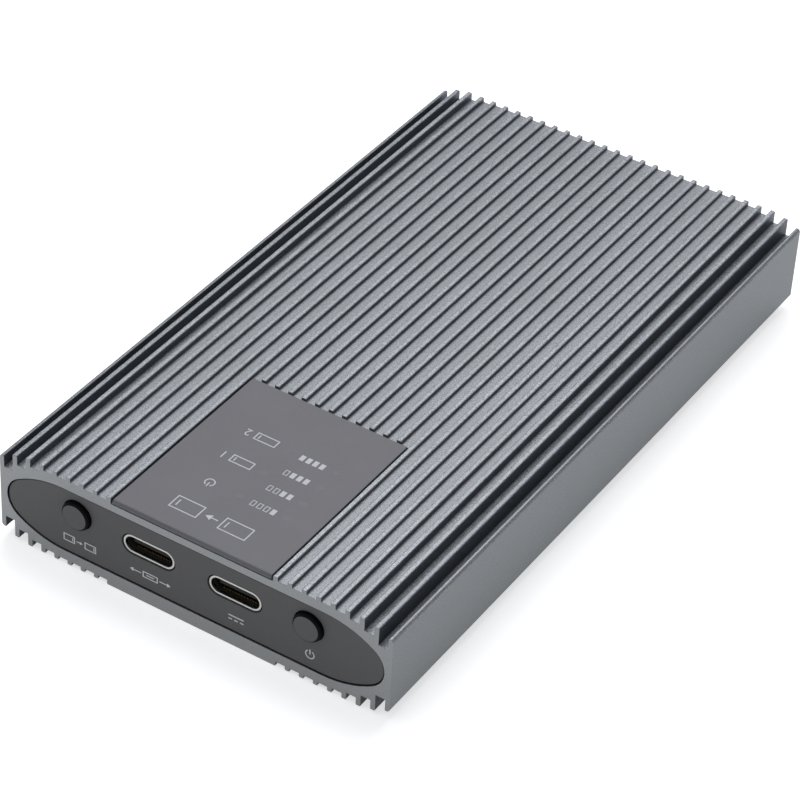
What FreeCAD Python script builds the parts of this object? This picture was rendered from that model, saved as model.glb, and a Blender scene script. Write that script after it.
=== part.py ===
import FreeCAD, Part
import math
import os

V = FreeCAD.Vector

# Frame: millimetres, the port end faces -Y, +X is to the right seen from there, +Z is up.
# The origin lies under the middle of the foot, on the surface that the object stands on.

# Drive cards of the M.2 2280 size, which lie side by side and set the size of the whole
DRIVE_L = 80.0
SOCKET_W = 22.4
BAY_SPLIT = 2.0
SOCKET_BACK = 35.4
REAR_ROOM = 8.8

# Housing sleeve, an aluminium extrusion with fins above and below an oval bore
FIN_COUNT = 29
FIN_T = 0.8
FIN_H = 0.65
SIDE_TIP_DROP = 1.5
NEXT_TIP_DROP = 0.5
TIP_BREAK = 0.12
SIDE_EDGE_R = 0.6
FOOT_DROP = 0.15
SIDE_FINS = 8
BORE_H = 11.8
BORE_END = 10.3
BORE_NOSE_R = 4.05
SIDE_WALL = 1.2
ROOF_WALL = 1.7
SHOULDER_WALL = 2.3

# Guide rails inside the bore, which carry the tray by its two long edges
RAIL_DEPTH = 5.5
RAIL_T = 1.0
RAIL_ENGAGE = 2.0
RAIL_CLEAR = 0.1

# End panels, which sit in the bore against the ends of the rails
PANEL_T = 2.0
PANEL_RECESS = 0.15
PANEL_GAP = 0.18
PANEL_EDGE = 0.1
SEAT_PLAY = 0.05

# Ports and buttons on the front panel, with their heights above the middle of the bore
PORT_X = 7.5
PORT_RISE = 1.3
SHELL_W = 8.94
SHELL_H = 3.2
SHELL_T = 0.3
SHELL_L = 7.4
SHELL_RECESS = 0.18
PORT_GAP = 0.25
LEG_L = 1.2
REAR_LEG_INSET = 1.8
TONGUE_W = 6.7
TONGUE_T = 0.7
TONGUE_L = 4.4
TONGUE_BASE_L = 2.2
BUTTON_RISE = 2.0
CAP_R = 2.42
CAP_GAP = 0.12
CAP_EDGE = 0.3
CAP_PROUD = 0.85
CAP_FLANGE_R = 2.9
CAP_FLANGE_T = 0.6
CAP_STEM_R = 1.2
BUTTON_TRAVEL = 0.35
PLUNGER_R = 0.9
PLUNGER_L = 1.7
PLUNGER_PROUD = 0.7
SWITCH_W = 4.6
SWITCH_L = 3.6
SWITCH_OVER = 1.7
SWITCH_CORNER = 0.3

# Cover plate with the indicator windows, let into the top at the port end
PLATE_POCKET_L = 35.1
PLATE_T = 0.8
PLATE_BELOW_TIPS = 0.15
PLATE_GAP = 0.3
PLATE_BEVEL = 0.25
TAPE_T = 0.1
TAPE_INSET = 0.5

# Indicators, by their distance behind the port end: power and the drives, then the progress row
STATUS_X = 0.2
STATUS_BACK = (11.3, 17.7, 23.9)
LEVEL_X = 8.6
LEVEL_BACK = (11.2, 15.3, 19.5, 23.6)
PIN_R = 0.7
PIN_FIT = 0.05
BLOCK_WALL = 1.0
BLOCK_WELL = 1.6
BLOCK_ROOF_GAP = 0.4
LED_W = 1.0
LED_L = 0.6
LED_H = 0.5

# Tray, bent from aluminium sheet
TRAY_T = 1.0
TRAY_BEND_R = 0.5
TRAY_CORNER_R = 1.0
TAB_W = 3.6
TAB_OUT = 0.4
TAB_ROOF_GAP = 1.7
TAB_TO_CAP = 0.3
BOSS_R = 2.0
BOSS_H = 1.1

# Main board and what is soldered to it
BOARD_T = 1.6
BOARD_RIM = 1.8
BOARD_SIDE_GAP = 0.3
BOARD_FRONT_GAP = 0.3
BOARD_CORNER_R = 1.5
BOARD_REAR_GAP = 0.9
SOCKET_L = 6.8
SOCKET_H = 4.2
SOCKET_BEVEL = 0.5
SLOT_W = 20.0
SLOT_H = 0.9
SLOT_DEPTH = 4.2
SLOT_DROP = 0.05
SLOT_KEY_W = 1.2
SLOT_KEY_X = 6.1
MOUTH_L = 1.2
MOUTH_CHEEK = 1.0
DRIVE_SEAT_H = 2.4
STANDOFF_R = 1.9
STANDOFF_BASE_R = 2.5
STANDOFF_BASE_H = 1.2
STANDOFF_HOLE_R = 0.8
DRIVE_PAD_W = 19.0
DRIVE_PAD_T = 1.5
DRIVE_PAD_GAP = 4.0
DRIVE_PAD_STOP = 7.8
BOARD_PAD_W = 42.0
BOARD_PAD_STOP = 5.8

# Screws
BOARD_SCREW_R = 0.95
BOARD_HEAD_R = 1.6
BOARD_HEAD_H = 1.1
BOARD_HEAD_CLEAR = 0.2
BOARD_SCREW_BACK = 29.0
BOARD_SCREW_FROM_REAR = 8.4
PANEL_SCREW_RISE = 2.2
PANEL_SCREW_R = 0.7
PANEL_SCREW_BITE = 1.5
PANEL_HEAD_R = 1.4
PANEL_HEAD_H = 0.9
REAR_SCREW_R = 0.95
REAR_HEAD_R = 1.9
REAR_HEAD_H = 1.2
REAR_SCREW_L = 5.0
NUT_R = 1.75
NUT_L = 1.5
SCREW_FIT = 0.05
HOLE_FIT = 0.15

# Across: from the drive bays out to the side walls
BAY_X = (SOCKET_W + BAY_SPLIT) / 2
BOARD_SCREW_X = BAY_X + SOCKET_W / 2 + BOARD_HEAD_CLEAR + BOARD_HEAD_R
BOARD_HALF_W = BOARD_SCREW_X + BOARD_RIM
RAIL_IN = BOARD_HALF_W + BOARD_SIDE_GAP
TRAY_HALF_W = RAIL_IN + RAIL_ENGAGE
BORE_HALF_W = RAIL_IN + RAIL_DEPTH
BORE_FLAT = BORE_HALF_W - BORE_END
WIDTH = 2 * (BORE_HALF_W + SIDE_WALL)
FIN_PITCH = (WIDTH - FIN_T) / (FIN_COUNT - 1)
TAB_X1 = RAIL_IN - TAB_OUT
TAB_X0 = TAB_X1 - TAB_W
TAB_MID_X = (TAB_X0 + TAB_X1) / 2
BUTTON_X = TAB_X0 - TAB_TO_CAP - CAP_FLANGE_R

# Up: from the foot to the fin tips
TIP_TO_TIP = BORE_H + 2 * (ROOF_WALL + FIN_H)
MID_Z = FOOT_DROP + TIP_TO_TIP / 2
TOP_Z = FOOT_DROP + TIP_TO_TIP
ROOF_Z = MID_Z + BORE_H / 2
PORT_Z = MID_Z + PORT_RISE
BUTTON_Z = MID_Z + BUTTON_RISE
PANEL_SCREW_Z = MID_Z + PANEL_SCREW_RISE
BOARD_TOP = PORT_Z - SHELL_H / 2
BOARD_BOTTOM = BOARD_TOP - BOARD_T
TRAY_TOP = BOARD_BOTTOM - BOSS_H
TRAY_BOTTOM = TRAY_TOP - TRAY_T
TAB_TOP = ROOF_Z - TAB_ROOF_GAP
PLATE_TOP = TOP_Z - PLATE_BELOW_TIPS
PLATE_BOTTOM = PLATE_TOP - PLATE_T
POCKET_FLOOR = PLATE_BOTTOM - TAPE_T

# Along: from the port end to the rear
LENGTH = SOCKET_BACK - SLOT_DEPTH + DRIVE_L + REAR_ROOM
FRONT_Y = -LENGTH / 2
REAR_Y = LENGTH / 2
PANEL_FACE_Y = FRONT_Y + PANEL_RECESS
PANEL_BACK_Y = PANEL_FACE_Y + PANEL_T
REAR_PANEL_IN_Y = REAR_Y - PANEL_RECESS - PANEL_T
TRAY_REAR_Y = REAR_PANEL_IN_Y - SEAT_PLAY
BOARD_FRONT_Y = PANEL_BACK_Y + TRAY_T + BOARD_FRONT_GAP
BOARD_REAR_Y = TRAY_REAR_Y - TRAY_T - NUT_L - BOARD_REAR_GAP
SHELL_FRONT_Y = PANEL_FACE_Y + SHELL_RECESS
SOCKET_FACE_Y = FRONT_Y + SOCKET_BACK
STANDOFF_Y = SOCKET_FACE_Y - SLOT_DEPTH + DRIVE_L
BOARD_SCREW_Y = (FRONT_Y + BOARD_SCREW_BACK, BOARD_REAR_Y - BOARD_SCREW_FROM_REAR)
STEM_END_Y = PANEL_BACK_Y + SEAT_PLAY + CAP_FLANGE_T + BOARD_FRONT_GAP + TRAY_T
SWITCH_FRONT_Y = STEM_END_Y + PLUNGER_PROUD
INDICATORS = [(STATUS_X, FRONT_Y + back) for back in STATUS_BACK]
INDICATORS += [(LEVEL_X, FRONT_Y + back) for back in LEVEL_BACK]
INDICATOR_X = sorted({x for x, y in INDICATORS})


def box(x0, x1, y0, y1, z0, z1):
    return Part.makeBox(x1 - x0, y1 - y0, z1 - z0, V(x0, y0, z0))


def rod_y(x, z, r, y0, y1):
    return Part.makeCylinder(r, y1 - y0, V(x, y0, z), V(0, 1, 0))


def rod_z(x, y, r, z0, z1):
    return Part.makeCylinder(r, z1 - z0, V(x, y, z0), V(0, 0, 1))


def rounded_outline(corners):
    """A closed wire in the XY plane through (x, y, radius) corners, each turned into a tangent arc."""
    spans = []
    count = len(corners)
    for i in range(count):
        x, y, r = corners[i]
        here = V(x, y, 0)
        back = V(corners[i - 1][0], corners[i - 1][1], 0) - here
        ahead = V(corners[(i + 1) % count][0], corners[(i + 1) % count][1], 0) - here
        back.normalize()
        ahead.normalize()
        half = back.getAngle(ahead) / 2
        reach = r / math.tan(half)
        middle = back + ahead
        middle.normalize()
        spans.append((here + back * reach, here + middle * (r / math.sin(half) - r), here + ahead * reach, r))
    edges = []
    for i in range(count):
        start, middle, end, r = spans[i]
        if r > 0:
            edges.append(Part.Arc(start, middle, end).toShape())
        edges.append(Part.LineSegment(end, spans[(i + 1) % count][0]).toShape())
    return Part.Wire(edges)


def stand_up(wire, y0, y1, z=0.0):
    """The prism of an outline drawn in XY, turned upright into XZ and run from y0 to y1."""
    prism = Part.Face(wire).extrude(V(0, 0, y1 - y0))
    prism.rotate(V(0, 0, 0), V(1, 0, 0), 90)
    prism.translate(V(0, y1, z))
    return prism


def oval_prism(gap, y0, y1):
    """The bore's shape less an even gap: two flats, and at each end two long arcs that run into a nose."""
    half_h = BORE_H / 2
    reach = BORE_END - BORE_NOSE_R
    flank_r = (reach ** 2 + half_h ** 2 - BORE_NOSE_R ** 2) / (2 * (half_h - BORE_NOSE_R))
    lean = math.atan2(reach, flank_r - half_h)

    def on_flank(turn, across, up):
        x = BORE_FLAT + (flank_r - gap) * math.sin(turn)
        z = half_h - flank_r + (flank_r - gap) * math.cos(turn)
        return V(across * x, up * z, 0)

    edges = []
    for up in (1, -1):
        edges.append(Part.LineSegment(on_flank(0, -1, up), on_flank(0, 1, up)).toShape())
        for across in (1, -1):
            start = on_flank(0, across, up)
            end = on_flank(lean, across, up)
            edges.append(Part.Arc(start, on_flank(lean / 2, across, up), end).toShape())
    for across in (1, -1):
        tip = V(across * (BORE_FLAT + BORE_END - gap), 0, 0)
        edges.append(Part.Arc(on_flank(lean, across, 1), tip, on_flank(lean, across, -1)).toShape())
    return stand_up(Part.Wire(Part.__sortEdges__(edges)), y0, y1, MID_Z)


def stadium_prism(x, z, w, h, y0, y1):
    """A slot shape with full-round ends, w by h, run along Y."""
    r = h / 2
    x0 = x - w / 2 + r
    x1 = x + w / 2 - r
    right = Part.Arc(V(x1, -r, 0), V(x1 + r, 0, 0), V(x1, r, 0))
    left = Part.Arc(V(x0, r, 0), V(x0 - r, 0, 0), V(x0, -r, 0))
    top = Part.LineSegment(V(x1, r, 0), V(x0, r, 0))
    bottom = Part.LineSegment(V(x0, -r, 0), V(x1, -r, 0))
    wire = Part.Wire([right.toShape(), top.toShape(), left.toShape(), bottom.toShape()])
    return stand_up(wire, y0, y1, z)


def edges_at_y(shape, y):
    return [e for e in shape.Edges if abs(e.BoundBox.YMin - y) < 1e-4 and abs(e.BoundBox.YMax - y) < 1e-4]


def fin_left(i):
    return -WIDTH / 2 + i * FIN_PITCH


def fin_half_height(i):
    """Fin tips lie in one plane, except the side walls and the fins next to them, which stop short."""
    from_side = min(i, FIN_COUNT - 1 - i)
    drop = {0: SIDE_TIP_DROP, 1: NEXT_TIP_DROP}.get(from_side, 0.0)
    return TIP_TO_TIP / 2 - drop


def groove_half_height(i):
    """The floor of the groove after fin i follows the bore, a wall's thickness outside it."""
    middle_x = fin_left(i) + (FIN_T + FIN_PITCH) / 2
    beyond_flat = max(0.0, abs(middle_x) - BORE_FLAT)
    share = beyond_flat / (BORE_END + SHOULDER_WALL)
    return (BORE_H / 2 + ROOF_WALL) * math.sqrt(1 - share * share)


def fin_tip(i, up):
    """Corners of one fin's tip: a broken edge on each side, or a round one on a side wall's outside."""
    left = fin_left(i)
    right = left + FIN_T
    tip = up * fin_half_height(i)
    shoulder = tip - up * TIP_BREAK
    left_edge = [(left, shoulder, 0.0), (left + TIP_BREAK, tip, 0.0)]
    right_edge = [(right - TIP_BREAK, tip, 0.0), (right, shoulder, 0.0)]
    if i == 0:
        left_edge = [(left, tip, SIDE_EDGE_R)]
    if i == FIN_COUNT - 1:
        right_edge = [(right, tip, SIDE_EDGE_R)]
    return left_edge + right_edge


def finned_side(fins, up):
    """Corners of a run of fins from left to right, on the upper (up=1) or lower (up=-1) side."""
    corners = []
    for i in fins:
        if i > 0:
            corners.append((fin_left(i), up * groove_half_height(i - 1), 0.0))
        corners += fin_tip(i, up)
        if i < FIN_COUNT - 1:
            corners.append((fin_left(i) + FIN_T, up * groove_half_height(i), 0.0))
    return corners


def sleeve_outline():
    last = FIN_COUNT - 1
    foot_left = fin_left(SIDE_FINS)
    foot_right = fin_left(last - SIDE_FINS) + FIN_T
    foot_z = -TIP_TO_TIP / 2 - FOOT_DROP
    top = finned_side(range(FIN_COUNT), 1)
    lower_left = finned_side(range(SIDE_FINS), -1)
    lower_right = finned_side(range(FIN_COUNT - SIDE_FINS, FIN_COUNT), -1)
    foot = [
        (foot_left, -groove_half_height(SIDE_FINS - 1), 0.0),
        (foot_left, foot_z + TIP_BREAK, 0.0),
        (foot_left + TIP_BREAK, foot_z, 0.0),
        (foot_right - TIP_BREAK, foot_z, 0.0),
        (foot_right, foot_z + TIP_BREAK, 0.0),
        (foot_right, -groove_half_height(last - SIDE_FINS), 0.0),
    ]
    return rounded_outline(top + list(reversed(lower_left + foot + lower_right)))


def rail_bars():
    """Four ribs, two on each side, that leave a groove between them for the tray's edge."""
    y0 = PANEL_BACK_Y + SEAT_PLAY
    y1 = REAR_PANEL_IN_Y
    groove_z0 = TRAY_BOTTOM - RAIL_CLEAR
    groove_z1 = TRAY_TOP + RAIL_CLEAR
    bars = []
    for x0, x1 in ((RAIL_IN, WIDTH / 2), (-WIDTH / 2, -RAIL_IN)):
        bars.append(box(x0, x1, y0, y1, 0.0, groove_z0))
        bars.append(box(x0, x1, y0, y1, groove_z1, groove_z1 + RAIL_T))
    return bars


def plate_pocket_sides():
    return fin_left(SIDE_FINS) + FIN_T, fin_left(FIN_COUNT - 1 - SIDE_FINS)


def housing_sleeve():
    body = stand_up(sleeve_outline(), FRONT_Y, REAR_Y, MID_Z)
    bore = oval_prism(0.0, FRONT_Y - 1, REAR_Y + 1)
    for bar in rail_bars():
        bore = bore.cut(bar)
    body = body.cut(bore)
    x0, x1 = plate_pocket_sides()
    body = body.cut(box(x0, x1, FRONT_Y - 1, FRONT_Y + PLATE_POCKET_L, POCKET_FLOOR, TOP_Z + 1))
    for x, y in INDICATORS:
        body = body.cut(rod_z(x, y, PIN_R + PIN_FIT, ROOF_Z - 1, POCKET_FLOOR + 1))
    return body


def plate_outline(inset):
    x0, x1 = plate_pocket_sides()
    return x0 + inset, x1 - inset, FRONT_Y + PLATE_POCKET_L - inset


def indicator_plate():
    x0, x1, y1 = plate_outline(PLATE_GAP)
    plate = box(x0, x1, FRONT_Y, y1, PLATE_BOTTOM, PLATE_TOP)
    top_front = [e for e in edges_at_y(plate, FRONT_Y) if e.BoundBox.ZMin > PLATE_TOP - 1e-4]
    return plate.makeChamfer(PLATE_BEVEL, top_front)


def plate_tape():
    x0, x1, y1 = plate_outline(PLATE_GAP + TAPE_INSET)
    tape = box(x0, x1, FRONT_Y + TAPE_INSET, y1, POCKET_FLOOR, PLATE_BOTTOM)
    reach = PIN_R + HOLE_FIT
    for column in INDICATOR_X:
        ys = [y for x, y in INDICATORS if x == column]
        y0 = min(ys) - reach
        y1 = max(ys) + reach
        slot = box(column - reach, column + reach, y0, y1, POCKET_FLOOR - 1, PLATE_TOP)
        tape = tape.cut(slot)
    return tape


def light_pins():
    return Part.Compound([rod_z(x, y, PIN_R, ROOF_Z, PLATE_BOTTOM) for x, y in INDICATORS])


def front_panel():
    panel = oval_prism(PANEL_GAP, PANEL_FACE_Y, PANEL_BACK_Y)
    panel = panel.makeChamfer(PANEL_EDGE, edges_at_y(panel, PANEL_FACE_Y))
    y0 = PANEL_FACE_Y - 1
    y1 = PANEL_BACK_Y + 1
    for side in (-1, 1):
        opening = stadium_prism(side * PORT_X, PORT_Z, SHELL_W + 2 * PORT_GAP, SHELL_H + 2 * PORT_GAP, y0, y1)
        panel = panel.cut(opening)
        panel = panel.cut(rod_y(side * BUTTON_X, BUTTON_Z, CAP_R + CAP_GAP, y0, y1))
        screw_hole_y = PANEL_BACK_Y - PANEL_SCREW_BITE - SCREW_FIT
        screw_hole_r = PANEL_SCREW_R + SCREW_FIT
        panel = panel.cut(rod_y(side * TAB_MID_X, PANEL_SCREW_Z, screw_hole_r, screw_hole_y, y1))
    return panel


def rear_panel():
    face_y = REAR_Y - PANEL_RECESS
    panel = oval_prism(PANEL_GAP, REAR_PANEL_IN_Y, face_y)
    panel = panel.makeChamfer(PANEL_EDGE, edges_at_y(panel, face_y))
    for side in (-1, 1):
        shank = rod_y(side * TAB_MID_X, MID_Z, REAR_SCREW_R + HOLE_FIT, REAR_PANEL_IN_Y - 1, face_y + 1)
        panel = panel.cut(shank).cut(screw_cone(side * TAB_MID_X, face_y, SCREW_FIT))
    return panel


def screw_cone(x, face_y, gap):
    """A countersunk head, or its seat when gap is not zero, sunk into a face that looks along +Y."""
    place = V(x, face_y - REAR_HEAD_H, MID_Z)
    return Part.makeCone(REAR_SCREW_R + gap, REAR_HEAD_R + gap, REAR_HEAD_H, place, V(0, 1, 0))


def rear_screws():
    face_y = REAR_Y - PANEL_RECESS
    screws = []
    for side in (-1, 1):
        x = side * TAB_MID_X
        shank = rod_y(x, MID_Z, REAR_SCREW_R, face_y - REAR_SCREW_L, face_y - REAR_HEAD_H)
        screws.append(shank.fuse(screw_cone(x, face_y, 0.0)))
    return Part.Compound(screws)


def bent_tab(x0, x1, inner_y, outer_y):
    """An upright tab at a tray end with its bend: inner_y is the side that faces the board."""
    way = 1 if outer_y > inner_y else -1
    inside = TRAY_BEND_R
    outside = TRAY_BEND_R + TRAY_T
    root = inner_y - way * (outside + 1)
    corners = [
        (root, TRAY_BOTTOM, 0.0),
        (outer_y, TRAY_BOTTOM, outside),
        (outer_y, TAB_TOP, 0.0),
        (inner_y, TAB_TOP, 0.0),
        (inner_y, TRAY_TOP, inside),
        (root, TRAY_TOP, 0.0),
    ]
    wire = rounded_outline(corners)
    prism = Part.Face(wire).extrude(V(0, 0, x1 - x0))
    sideways = FreeCAD.Rotation(V(0, 1, 0), V(0, 0, 1), V(1, 0, 0), "XYZ")
    prism.Placement = FreeCAD.Placement(V(x0, 0, 0), sideways)
    return prism


def tray():
    front_in = PANEL_BACK_Y + TRAY_T
    rear_in = TRAY_REAR_Y - TRAY_T
    bend = TRAY_BEND_R
    base_wire = rounded_outline([
        (-TRAY_HALF_W, front_in + bend, TRAY_CORNER_R),
        (TRAY_HALF_W, front_in + bend, TRAY_CORNER_R),
        (TRAY_HALF_W, rear_in - bend, TRAY_CORNER_R),
        (-TRAY_HALF_W, rear_in - bend, TRAY_CORNER_R),
    ])
    body = Part.Face(base_wire).extrude(V(0, 0, TRAY_T))
    body.translate(V(0, 0, TRAY_BOTTOM))
    for side in (-1, 1):
        x0, x1 = sorted((side * TAB_X0, side * TAB_X1))
        body = body.fuse(bent_tab(x0, x1, front_in, PANEL_BACK_Y))
        body = body.fuse(bent_tab(x0, x1, rear_in, TRAY_REAR_Y))
        for y in BOARD_SCREW_Y:
            body = body.fuse(rod_z(side * BOARD_SCREW_X, y, BOSS_R, TRAY_TOP, BOARD_BOTTOM))
    for side in (-1, 1):
        x = side * TAB_MID_X
        panel_hole_r = PANEL_SCREW_R + HOLE_FIT
        body = body.cut(rod_y(x, PANEL_SCREW_Z, panel_hole_r, PANEL_BACK_Y - 1, front_in + 1))
        body = body.cut(rod_y(x, MID_Z, REAR_SCREW_R + HOLE_FIT, rear_in - 1, TRAY_REAR_Y + 1))
        for y in BOARD_SCREW_Y:
            hole_r = BOARD_SCREW_R + SCREW_FIT
            body = body.cut(rod_z(side * BOARD_SCREW_X, y, hole_r, TRAY_BOTTOM - 1, BOARD_BOTTOM + 1))
    return body.removeSplitter()


def tray_nuts():
    """Round clinch nuts on the inner side of the rear tabs, which the rear screws enter."""
    nuts = []
    y1 = TRAY_REAR_Y - TRAY_T
    for side in (-1, 1):
        x = side * TAB_MID_X
        nut = rod_y(x, MID_Z, NUT_R, y1 - NUT_L, y1)
        nuts.append(nut.cut(rod_y(x, MID_Z, REAR_SCREW_R + SCREW_FIT, y1 - NUT_L - 1, y1 + 1)))
    return Part.Compound(nuts)


def panel_screws():
    """Pan-head screws from inside through the front tabs into the back of the front panel."""
    screws = []
    head_y = PANEL_BACK_Y + TRAY_T
    for side in (-1, 1):
        x = side * TAB_MID_X
        shank = rod_y(x, PANEL_SCREW_Z, PANEL_SCREW_R, PANEL_BACK_Y - PANEL_SCREW_BITE, head_y)
        head = rod_y(x, PANEL_SCREW_Z, PANEL_HEAD_R, head_y, head_y + PANEL_HEAD_H)
        screws.append(shank.fuse(head))
    return Part.Compound(screws)


def board_screws():
    screws = []
    for side in (-1, 1):
        for y in BOARD_SCREW_Y:
            x = side * BOARD_SCREW_X
            shank = rod_z(x, y, BOARD_SCREW_R, TRAY_BOTTOM, BOARD_TOP)
            head = rod_z(x, y, BOARD_HEAD_R, BOARD_TOP, BOARD_TOP + BOARD_HEAD_H)
            screws.append(shank.fuse(head))
    return Part.Compound(screws)


def main_board():
    wire = rounded_outline([
        (-BOARD_HALF_W, BOARD_FRONT_Y, BOARD_CORNER_R),
        (BOARD_HALF_W, BOARD_FRONT_Y, BOARD_CORNER_R),
        (BOARD_HALF_W, BOARD_REAR_Y, BOARD_CORNER_R),
        (-BOARD_HALF_W, BOARD_REAR_Y, BOARD_CORNER_R),
    ])
    board = Part.Face(wire).extrude(V(0, 0, BOARD_T))
    board.translate(V(0, 0, BOARD_BOTTOM))
    for side in (-1, 1):
        for y in BOARD_SCREW_Y:
            hole_r = BOARD_SCREW_R + HOLE_FIT
            board = board.cut(rod_z(side * BOARD_SCREW_X, y, hole_r, BOARD_BOTTOM - 1, BOARD_TOP + 1))
    return board


def port_shell(x):
    """A drawn steel USB-C receptacle shell: a stadium tube with four side legs down to the board."""
    y1 = SHELL_FRONT_Y + SHELL_L
    shell = stadium_prism(x, PORT_Z, SHELL_W, SHELL_H, SHELL_FRONT_Y, y1)
    leg_y0 = BOARD_FRONT_Y + LEG_L / 2
    leg_x = SHELL_W / 2
    for side in (-1, 1):
        x0, x1 = sorted((x + side * (leg_x - SHELL_T), x + side * leg_x))
        for y in (leg_y0, y1 - REAR_LEG_INSET):
            shell = shell.fuse(box(x0, x1, y, y + LEG_L, BOARD_TOP, PORT_Z))
    inside = stadium_prism(x, PORT_Z, SHELL_W - 2 * SHELL_T, SHELL_H - 2 * SHELL_T, SHELL_FRONT_Y - 1, y1 + 1)
    return shell.cut(inside)


def port_tongue(x):
    """The plastic core of a receptacle: a base that closes the back of the shell and a thin tongue."""
    y1 = SHELL_FRONT_Y + SHELL_L
    y0 = y1 - TONGUE_BASE_L
    w = SHELL_W - 2 * SHELL_T - 2 * SCREW_FIT
    h = SHELL_H - 2 * SHELL_T - 2 * SCREW_FIT
    base = stadium_prism(x, PORT_Z, w, h, y0, y1)
    half_w = TONGUE_W / 2
    half_t = TONGUE_T / 2
    tongue = box(x - half_w, x + half_w, y0 - TONGUE_L, y0, PORT_Z - half_t, PORT_Z + half_t)
    tongue = tongue.makeChamfer(TONGUE_T / 4, edges_at_y(tongue, y0 - TONGUE_L))
    return base.fuse(tongue)


def button_cap(x):
    """A round cap through the panel, held by a flange behind it, with a stem to the switch."""
    face_y = PANEL_FACE_Y - CAP_PROUD
    flange_y0 = PANEL_BACK_Y + SEAT_PLAY
    flange_y1 = flange_y0 + CAP_FLANGE_T
    cap = rod_y(x, BUTTON_Z, CAP_R, face_y, flange_y0)
    cap = cap.makeChamfer(CAP_EDGE, edges_at_y(cap, face_y))
    flange = rod_y(x, BUTTON_Z, CAP_FLANGE_R, flange_y0, flange_y1)
    stem = rod_y(x, BUTTON_Z, CAP_STEM_R, flange_y1, STEM_END_Y)
    return cap.fuse([flange, stem])


def switch_plunger(x):
    return rod_y(x, BUTTON_Z, PLUNGER_R, STEM_END_Y, STEM_END_Y + PLUNGER_L)


def switch_body(x):
    """A side-push switch on the board, with a well for its plunger."""
    y1 = SWITCH_FRONT_Y + SWITCH_L
    top = BUTTON_Z + SWITCH_OVER
    body = box(x - SWITCH_W / 2, x + SWITCH_W / 2, SWITCH_FRONT_Y, y1, BOARD_TOP, top)
    upright = [e for e in body.Edges if e.BoundBox.ZLength > top - BOARD_TOP - 1e-4]
    body = body.makeChamfer(SWITCH_CORNER, upright)
    well_y1 = STEM_END_Y + PLUNGER_L + BUTTON_TRAVEL + SEAT_PLAY
    return body.cut(rod_y(x, BUTTON_Z, PLUNGER_R + SCREW_FIT, SWITCH_FRONT_Y - 1, well_y1))


def drive_socket(x):
    """An M.2 edge socket that opens to the rear, with a key in its slot."""
    y1 = SOCKET_FACE_Y
    y0 = y1 - SOCKET_L
    top = BOARD_TOP + SOCKET_H
    body = box(x - SOCKET_W / 2, x + SOCKET_W / 2, y0, y1, BOARD_TOP, top)
    body = body.makeChamfer(SOCKET_BEVEL, [e for e in edges_at_y(body, y0) if e.BoundBox.ZMin > top - 1e-4])
    z0 = BOARD_TOP + DRIVE_SEAT_H - SLOT_DROP
    z1 = z0 + SLOT_H
    slot_x0 = x - SLOT_W / 2
    slot_x1 = x + SLOT_W / 2
    key_x0 = x + SLOT_KEY_X
    slot = box(slot_x0, slot_x1, y1 - SLOT_DEPTH, y1 + 1, z0, z1)
    key = box(key_x0, key_x0 + SLOT_KEY_W, y1 - SLOT_DEPTH - 1, y1 - MOUTH_L, z0 - 1, z1 + 1)
    mouth = box(slot_x0 + MOUTH_CHEEK, slot_x1 - MOUTH_CHEEK, y1 - MOUTH_L, y1 + 1, z0, top + 1)
    return body.cut(slot.cut(key)).cut(mouth)


def drive_standoffs():
    """Flanged threaded posts that each carry the far end of a drive card."""
    posts = []
    for side in (-1, 1):
        x = side * BAY_X
        foot = rod_z(x, STANDOFF_Y, STANDOFF_BASE_R, BOARD_TOP, BOARD_TOP + STANDOFF_BASE_H)
        post = rod_z(x, STANDOFF_Y, STANDOFF_R, BOARD_TOP, BOARD_TOP + DRIVE_SEAT_H)
        hole = rod_z(x, STANDOFF_Y, STANDOFF_HOLE_R, BOARD_TOP, BOARD_TOP + DRIVE_SEAT_H + 1)
        posts.append(foot.fuse(post).cut(hole))
    return Part.Compound(posts)


def drive_thermal_pads():
    pads = []
    half = DRIVE_PAD_W / 2
    y0 = SOCKET_FACE_Y + DRIVE_PAD_GAP
    y1 = STANDOFF_Y - DRIVE_PAD_STOP
    for x in (-BAY_X, BAY_X):
        pads.append(box(x - half, x + half, y0, y1, BOARD_TOP, BOARD_TOP + DRIVE_PAD_T))
    return Part.Compound(pads)


def board_thermal_pad():
    half = BOARD_PAD_W / 2
    return box(-half, half, SOCKET_FACE_Y, STANDOFF_Y - BOARD_PAD_STOP, TRAY_TOP, BOARD_BOTTOM)


def light_block():
    """An opaque block on the board with one square well for each indicator, so that no light strays."""
    half = BLOCK_WELL / 2
    edge = half + BLOCK_WALL
    ys = [y for x, y in INDICATORS]
    x0 = INDICATOR_X[0] - edge
    x1 = INDICATOR_X[-1] + edge
    z1 = ROOF_Z - BLOCK_ROOF_GAP
    block = box(x0, x1, min(ys) - edge, max(ys) + edge, BOARD_TOP, z1)
    for x, y in INDICATORS:
        block = block.cut(box(x - half, x + half, y - half, y + half, BOARD_TOP - 1, z1 + 1))
    return block


def status_leds():
    leds = []
    for x, y in INDICATORS:
        half_w = LED_W / 2
        half_l = LED_L / 2
        leds.append(box(x - half_w, x + half_w, y - half_l, y + half_l, BOARD_TOP, BOARD_TOP + LED_H))
    return Part.Compound(leds)


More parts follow.
